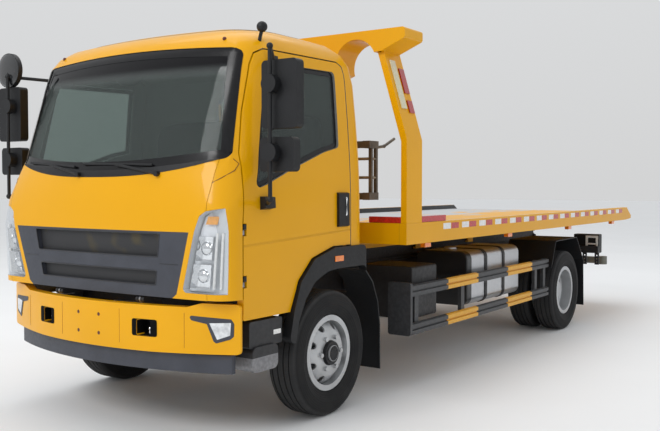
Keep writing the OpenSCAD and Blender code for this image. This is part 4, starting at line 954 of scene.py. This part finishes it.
# Rear lamps: three lenses behind, and a pale frame on the front of the housing
REAR_LENSES = (("stop", lamp_red, (0.8, 0.89)), ("turn", amber, (0.898, 0.988)),
               ("reverse", lamp_clear, (0.996, 1.085)))
REAR_X, REAR_Z = (-5.694, -5.688), (0.722, 0.914)
POSTS_X, POSTS_Y = (-5.5795, -5.5755), ((0.935, 0.962), (1.058, 1.085))
BARS_X, BARS_Y = (-5.5795, -5.5757), (0.962, 1.058)
BARS_Z = ((0.722, 0.748), (0.888, 0.914), (0.806, 0.826))
for s, tag in SIDES:
    for name, material, y in REAR_LENSES:
        lens = Shape().box(REAR_X, y, REAR_Z, s)
        lens.make(f"rear_{name}_{tag}", material, "chassis", "lamp_red", 0.003)
    cover = Shape()
    for y in POSTS_Y:
        cover.box(POSTS_X, y, REAR_Z, s)
    for z in BARS_Z:
        cover.box(BARS_X, BARS_Y, z, s)
    cover.make(f"rear_lamp_frame_{tag}", reflector_white, "chassis", "lamp_red", 0.002)

# Fog lamps: a clear lens in a dark surround, on the bowed face of the bumper
BUMPER_R, BUMPER_FRONT = 2.49989, 1.13
FOG_LOW, FOG_HIGH = ((0.912, 0.628), (0.985, 0.655)), ((0.868, 0.722), (0.99, 0.728))  # inner, outer
FOG_STEPS, FOG_PROUD = 6, 0.0035


def on_bumper(y, z, s, out):
    """A point of the bumper's face, moved out by a little."""
    return (BUMPER_FRONT - BUMPER_R + math.sqrt((BUMPER_R + out) ** 2 - y * y), s * y, z)


for s, tag in SIDES:
    rows = []
    for f in even(0, 1, FOG_STEPS):
        inner, outer = (Vector(a).lerp(Vector(b), f) for a, b in zip(FOG_LOW, FOG_HIGH))
        rows.append([on_bumper(*inner.lerp(outer, t), s, FOG_PROUD) for t in even(0, 1, FOG_STEPS)])
    Shape().sheet(rows).make(f"fog_lens_{tag}", lamp_clear, "chassis", "lamp_clear")

# Bumper: a pocket and a surround in painted shade, with a pin, at each tow hole, screws of the plate, and
# pressed seams drawn as lines of painted shade
COLLAR_STEPS = 120
PARALLEL, MARGIN = 1e-12, 1e-9


def collar(outer, inner, s):
    """Rows of a band on the bumper's face between two closed outlines, met by their angles round the hole."""
    mid = (sum(p[0] for p in inner) / len(inner), sum(p[1] for p in inner) / len(inner))

    def ray(points, t):
        d = (math.cos(t), math.sin(t))
        best = 0.0
        for p, q in zip(points, points[1:] + points[:1]):
            ex, ez = q[0] - p[0], q[1] - p[1]
            det = d[0] * -ez + ex * d[1]
            if abs(det) < PARALLEL:
                continue
            px, pz = p[0] - mid[0], p[1] - mid[1]
            r = (px * -ez + ex * pz) / det
            u = (d[0] * pz - d[1] * px) / det
            if r > 0 and -MARGIN <= u <= 1 + MARGIN:
                best = max(best, r)
        return mid[0] + best * d[0], mid[1] + best * d[1]

    return [[on_bumper(*ray(points, t), s, PROUD) for t in even(0, 2 * math.pi, COLLAR_STEPS)]
            for points in (outer, inner)]


def frame_points(y, z, r):
    """A rectangle with round corners, as an outline of short sides."""
    return split(rounded(((y[0], z[0]), (y[1], z[0]), (y[1], z[1]), (y[0], z[1])), r), 0.02)


POCKET_Y, POCKET_STEPS, POCKET_Z = (0.3955, 0.4925), 8, (0.6262, 0.7198)
POCKET_BACK, POCKET_LIP = 1.0125, -0.003


def pocket_wall(points, s):
    """Rows of a wall from the pocket's back to the bumper's face."""
    return [[(POCKET_BACK, s * y, z) for y, z in points], [on_bumper(y, z, s, POCKET_LIP) for y, z in points]]


# AROUND is the outer edge of a dark surround, painted shade that widens the tow hole's dark opening
AROUND = ((0.362, 0.54), (0.622, 0.724), 0.016)
HOLE = ((0.395, 0.493), (0.6255, 0.7205), 0.012)
PIN, PIN_TOP, PIN_R, PIN_BALL, PIN_BALL_R = (1.04, 0.455, 0.626), 0.66, 0.011, 0.662, 0.015
SEAM_Y, SEAM_Z, SEAM_R, SEAM_PROUD = (0.265, 0.715), (0.57, 0.66, 0.775), 0.0014, 0.0002
PLATE_Y, PLATE_Z, SCREW_R, SCREW_SCALE, SCREW_DEEP = 0.0925, (0.613, 0.728), 0.013, (0.16, 1, 1), -0.001
pocket, pins, seams, plate_screws = Shape(), Shape(), Shape(), Shape()
hole_y = even(*POCKET_Y, POCKET_STEPS)
for s, _ in SIDES:
    pocket.sheet([[(POCKET_BACK, s * y, z) for y in hole_y] for z in POCKET_Z])
    for z in POCKET_Z:
        pocket.sheet(pocket_wall([(y, z) for y in hole_y], s))
    for y in (hole_y[0], hole_y[-1]):
        pocket.sheet(pocket_wall([(y, z) for z in POCKET_Z], s))
    pocket.sheet(collar(frame_points(*AROUND), frame_points(*HOLE), s))
    x, y, z = PIN
    pins.rod((x, s * y, z), (x, s * y, PIN_TOP), PIN_R)
    pins.ball((x, s * y, PIN_BALL), PIN_BALL_R)
    # The pressed seams are thin lines of darker paint: painted shade of the creases
    for y in SEAM_Y:
        seams.tube([on_bumper(y, z, s, SEAM_PROUD) for z in SEAM_Z], SEAM_R, 6)
pocket.make("tow_pockets", hole_shade, "chassis", "frame_black")
for s in (-1, 1):
    for z in PLATE_Z:
        plate_screws.ball(on_bumper(PLATE_Y, z, s, SCREW_DEEP), SCREW_R, SCREW_SCALE)
plate_screws.make("plate_screws", shut_line, "chassis", "paint_yellow")
pins.make("tow_pins", chrome, "chassis", "steel")
seams.make("bumper_seams", seam_shade, "chassis", "paint_yellow")

# Cab front: shut lines of the corner panels, screws at the roof, frames and mesh in the grille
CORNER_LINE = ((0.903, 1.53), (0.945, 1.56), (0.985, 1.6), (0.99, 1.64), (0.962, 1.668))
LINE_PROUD, LINE_R = 0.0004, 0.0022
ROOF_SCREW, ROOF_SCREW_R = (0.745, 2.399), 0.0125
shut, screws = Shape(), Shape()
for s, _ in SIDES:
    shut.tube([on_cab(s * y, z, LINE_PROUD) for y, z in CORNER_LINE], LINE_R, 6)
    screws.ball(on_cab(s * ROOF_SCREW[0], ROOF_SCREW[1], 0.0), ROOF_SCREW_R)
shut.make("cab_shut_lines", shut_line, "cab", "paint_yellow")
screws.make("roof_screws", shut_line, "cab", "paint_yellow")
MOUTHS = (((0.572, 1.234), (0.55, 1.096)), ((0.537, 1.014), (0.522, 0.928)))  # half width and height
MOUTH_DEEP, MOUTH_R = -0.0015, 0.0045
SIDE_SEAM_Y, SIDE_SEAM_Z, SIDE_SEAM_R = (0.565, 0.6, 0.65, 0.7), 1.056, 0.002
frames = Shape()
for top, low in MOUTHS:
    path = split(rounded((top, low, (-low[0], low[1]), (-top[0], top[1])), 0.012), 0.05)
    frames.tube([on_cab(y, z, MOUTH_DEEP) for y, z in path], MOUTH_R, 8, True)
for s, _ in SIDES:
    frames.tube([on_cab(s * y, SIDE_SEAM_Z, SEAM_PROUD) for y in SIDE_SEAM_Y], SIDE_SEAM_R, 6)
frames.make("grille_frames", grille_edge, "cab", "slate_plastic")
MESH = ((0.575, 1.092, 1.238), (0.54, 0.925, 1.017))  # half width, from and to in height
MESH_DEEP, MESH_COLUMNS, MESH_ROWS = -0.029, 40, 4
mesh = Shape()
for half, low, high in MESH:
    mesh.sheet([[on_cab(y, z, MESH_DEEP) for y in even(-half, half, MESH_COLUMNS)]
                for z in even(low, high, MESH_ROWS)])
mesh.make("grille_mesh", mesh_material(), "cab", "slate_plastic")

# Roof: one smooth skin over the flat middle of the cab's top, drawn from its rim to its middle
ROOF_MID, ROOF_LOW, ROOF_RISE = 0.22, 2.4912, 0.0245
ROOF_HALF, ROOF_FRONT, ROOF_REAR, ROOF_CROWN = 0.79, 0.59, -0.13, 0.095
ROOF_STRAIGHT, ROOF_STEPS = 0.56, 14
FRONT_R, FRONT_EASE, REAR_R, REAR_STRAIGHT, ROOF_ARC = 0.23, 0.047, 0.16, 0.63, 8
ROOF_ROWS, ROOF_LEAST, ROOF_POWER = 24, 0.005, 6.5
roof_rim = [(ROOF_FRONT - ROOF_CROWN * (y / ROOF_HALF) ** 2, y)
            for y in even(-ROOF_STRAIGHT, ROOF_STRAIGHT, ROOF_STEPS)]
side_x = ROOF_FRONT - ROOF_CROWN - FRONT_R
for f in even(0, 1, ROOF_ARC)[1:]:
    t = math.radians(90 * f)
    x = side_x + FRONT_R * math.cos(t) + FRONT_EASE * (1 - f)
    roof_rim.append((x, ROOF_STRAIGHT + FRONT_R * math.sin(t)))
for t in even(math.pi / 2, math.pi, ROOF_ARC):
    roof_rim.append((ROOF_REAR + REAR_R * (1 + math.cos(t)), REAR_STRAIGHT + REAR_R * math.sin(t)))
roof_rim += [(x, -y) for x, y in reversed(roof_rim[ROOF_STEPS + 1:])]
rows = []
for share in even(1, ROOF_LEAST, ROOF_ROWS):
    z = ROOF_LOW + ROOF_RISE * (1 - share ** ROOF_POWER)
    rows.append([(ROOF_MID + share * (x - ROOF_MID), share * y, z) for x, y in roof_rim + roof_rim[:1]])
Shape().sheet(rows).make("roof_skin", cab_paint, "cab", "paint_yellow")

# Small lamps and reflectors on the flares and steps
FLARE_LAMP = ((-0.122, -0.022), (1.058, 1.068), (1.012, 1.05))
STEP_REFLECTOR = ((0.52, 0.59), (1.029, 1.0325), (0.618, 0.646))
for s, tag in SIDES:
    lamp = Shape().box(*FLARE_LAMP, s)
    lamp.make(f"flare_lamp_{tag}", amber, "cab", "lamp_red", 0.003)
    reflector = Shape().box(*STEP_REFLECTOR, s)
    reflector.make(f"step_reflector_{tag}", reflector_white, "chassis", "black_plastic", 0.001)

# Inside of the cab: hood over the dials, screen, visors, mirror and gear lever
HOOD = ((0.64, 0.8), (0.29, 0.66), (1.545, 1.6))
PANEL = ((0.69, 0.72), (-0.08, 0.16), (1.5, 1.61))
VISOR = ((0.56, 0.585), (0.12, 0.8), (2.23, 2.375))
INSIDE_MIRROR = ((0.69, -0.1, 2.215), 0.06, (0.35, 2.0, 0.75))
LEVER, KNOB = ((0.3, 0.165, 1.03), (0.34, 0.165, 1.32), 0.012), ((0.34, 0.165, 1.33), 0.03)
inside = Shape().box(*HOOD).box(*PANEL)
for s, _ in SIDES:
    inside.box(*VISOR, s)
inside.ball(*INSIDE_MIRROR).rod(*LEVER).ball(*KNOB)
inside.make("cab_interior", black_plastic, "cab", "slate_plastic", 0.008)

# Rack: thin rungs across and between its uprights
RUNG_Z, RUNG_X, RUNG_REAR = (1.573, 1.711), -0.735, -0.815
RUNG_HALF, RUNG_SIDE, RUNG_R, SIDE_RUNG_R = 0.885, 0.8925, 0.011, 0.01
rungs = Shape()
for z in RUNG_Z:
    rungs.tube([(RUNG_X, -RUNG_HALF, z), (RUNG_X, RUNG_HALF, z)], RUNG_R, 12)
    for s, _ in SIDES:
        rungs.tube([(RUNG_REAR, s * RUNG_SIDE, z), (RUNG_X, s * RUNG_SIDE, z)], SIDE_RUNG_R, 12)
rungs.make("rack_rungs", rung_steel, "bed", "steel")

# Red kerbs at the foot of the gantry's posts
KERBS, KERB_Z = (((-1.312, -0.921), (1.166, 1.221)), ((-0.744, -0.692), (0.905, 1.174))), (1.2435, 1.289)
for s, tag in SIDES:
    kerb = Shape()
    for x, y in KERBS:
        kerb.box(x, y, KERB_Z, s)
    kerb.make(f"kerb_{tag}", reflector_red, "bed", "paint_yellow", 0.004)

# Front wheels: a dark hub in two steps, with bolts on its end
HUB_Y = 1.034
HUB_STEPS = ((1.0705, 0.0535, 40, 0.05), (1.058, 0.084, 48, 0.077))  # outer y, radius, sides, end radius
BOLTS, BOLT_PITCH_R, BOLT_Y, BOLT_R = 8, 0.036, (1.07, 1.0725), 0.006
for s, tag in SIDES:
    hub = Shape()
    for y, r, n, r2 in HUB_STEPS:
        hub.rod((0, s * HUB_Y, WHEEL_Z), (0, s * y, WHEEL_Z), r, n, r2)
    for k in range(BOLTS):
        t = 2 * math.pi * (k + 0.5) / BOLTS
        x, z = BOLT_PITCH_R * math.cos(t), WHEEL_Z + BOLT_PITCH_R * math.sin(t)
        hub.rod((x, s * BOLT_Y[0], z), (x, s * BOLT_Y[1], z), BOLT_R, 6)
    hub.make(f"hub_cap_{tag}", black_plastic, f"front_{tag}_wheel", "wheel_silver", 0.004)

# Seats: soft cushions on plain bases
PULL, SEAM_WIDTH, SEAM_DEPTH, PAD_CUTS = 0.16, 0.07, 0.03, 7


def cushion(name, low, high, seams):
    """A crowned pad between two corners, with sewn channels at shares of its width."""
    bm = bmesh.new()
    bmesh.ops.create_cube(bm, size=1.0)
    bmesh.ops.subdivide_edges(bm, edges=bm.edges[:], cuts=PAD_CUTS, use_grid_fill=True)
    size = [b - a for a, b in zip(low, high)]
    mid = [(a + b) / 2 for a, b in zip(low, high)]
    for v in bm.verts:
        c = v.co * 2
        swell = [1 - PULL * (c[(k + 1) % 3] ** 4 + c[(k + 2) % 3] ** 4) / 2 for k in range(3)]
        groove = sum(math.exp(-((c.y - q) / SEAM_WIDTH) ** 2) for q in seams) * SEAM_DEPTH
        p = [mid[k] + size[k] / 2 * c[k] * (swell[k] - (groove if k != 1 else 0)) for k in range(3)]
        v.co = at(*p)
    obj = add_mesh(name, bm, cloth)
    for p in obj.data.polygons:
        p.use_smooth = True
    sub = obj.modifiers.new("soft", "SUBSURF")
    sub.levels = sub.render_levels = 2
    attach(obj, "cab")


SEATS = (("driver", 0.27, 0.76, (-0.55, 0.55)), ("passenger", -0.8, 0.09, (-0.6, 0.0, 0.6)))
PADS = (("cushion", (-0.245, 0.235), (1.285, 1.405)), ("back", (-0.345, -0.2), (1.36, 2.005)))  # x, height
BASE_X, BASES_Y, BASE_Z = (-0.3, 0.2), ((0.3, 0.73), (-0.77, 0.06)), (1.0305, 1.295)
for name, y0, y1, seams in SEATS:
    for part, x, z in PADS:
        cushion(f"{name}_{part}", (x[0], y0, z[0]), (x[1], y1, z[1]), seams)
base = Shape()
for y in BASES_Y:
    base.box(BASE_X, y, BASE_Z)
base = base.make("seat_bases", black_plastic, "cab", "seat_cloth", 0.01)
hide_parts("seats")

# Stage, light and camera
FLOOR_TONE = (0.87, 0.875, 0.88)
SKY_TONE, SKY_RISE, SKY_STRENGTH = (1.0, 1.02, 1.04), 0.5, 0.75
# place, aim, size and power
LIGHTS = {"key": ((14, -1, 9), (2.0, 0, 1.2), (5, 5), 650), "top": ((-2, -2, 12), (-1, 0, 0), (12, 8), 400)}
CAMERA, LOOK_DOWN, LOOK_ROUND = (4.5934, 4.1996, 1.5131), 2.01, 214.5446


def stage():
    """Pale floor, a world that brightens upwards, two soft lights and the camera."""
    scene = bpy.context.scene
    bpy.ops.mesh.primitive_plane_add(size=160, location=(0, 0, -0.001))
    floor = bpy.context.object
    floor.name = "floor"
    floor.data.materials.append(surface("floor", FLOOR_TONE, 0.6, 0.015, (0.7, 0.8)))
    floor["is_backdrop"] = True
    world = bpy.data.worlds.new("studio")
    scene.world = world
    world.use_nodes = True
    sky = world.node_tree
    back = sky.nodes["Background"]
    back.inputs[1].default_value = SKY_STRENGTH
    height = sky.nodes.new("ShaderNodeSeparateXYZ")
    rise = sky.nodes.new("ShaderNodeMapRange")
    rise.inputs[2].default_value = SKY_RISE
    tone = sky.nodes.new("ShaderNodeMix")
    tone.data_type = "RGBA"
    tone.inputs[MIX_A].default_value = (*FLOOR_TONE, 1)
    tone.inputs[MIX_B].default_value = (*SKY_TONE, 1)
    link(sky, sky.nodes.new("ShaderNodeTexCoord").outputs["Generated"], height.inputs[0])
    link(sky, height.outputs[2], rise.inputs[0])
    link(sky, rise.outputs[0], tone.inputs[0])
    link(sky, tone.outputs[MIX_OUT], back.inputs[0])
    for name, (place, aim, size, power) in LIGHTS.items():
        data = bpy.data.lights.new(name, "AREA")
        data.shape = "RECTANGLE"
        data.size, data.size_y = size
        data.energy = power
        o = add(name, data)
        o.location = place
        o.rotation_euler = (Vector(aim) - Vector(place)).to_track_quat("-Z", "Y").to_euler()
    cam = bpy.data.cameras.new("camera")
    cam.sensor_width = 36.0
    cam.lens = 46.4
    cam.clip_end = 400
    o = add("camera", cam)
    o.location = at(*CAMERA)
    o.rotation_euler = (math.radians(90 - LOOK_DOWN), 0, math.radians(LOOK_ROUND - 90))
    scene.camera = o
    scene.view_settings.view_transform = "Standard"


stage()
low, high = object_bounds()
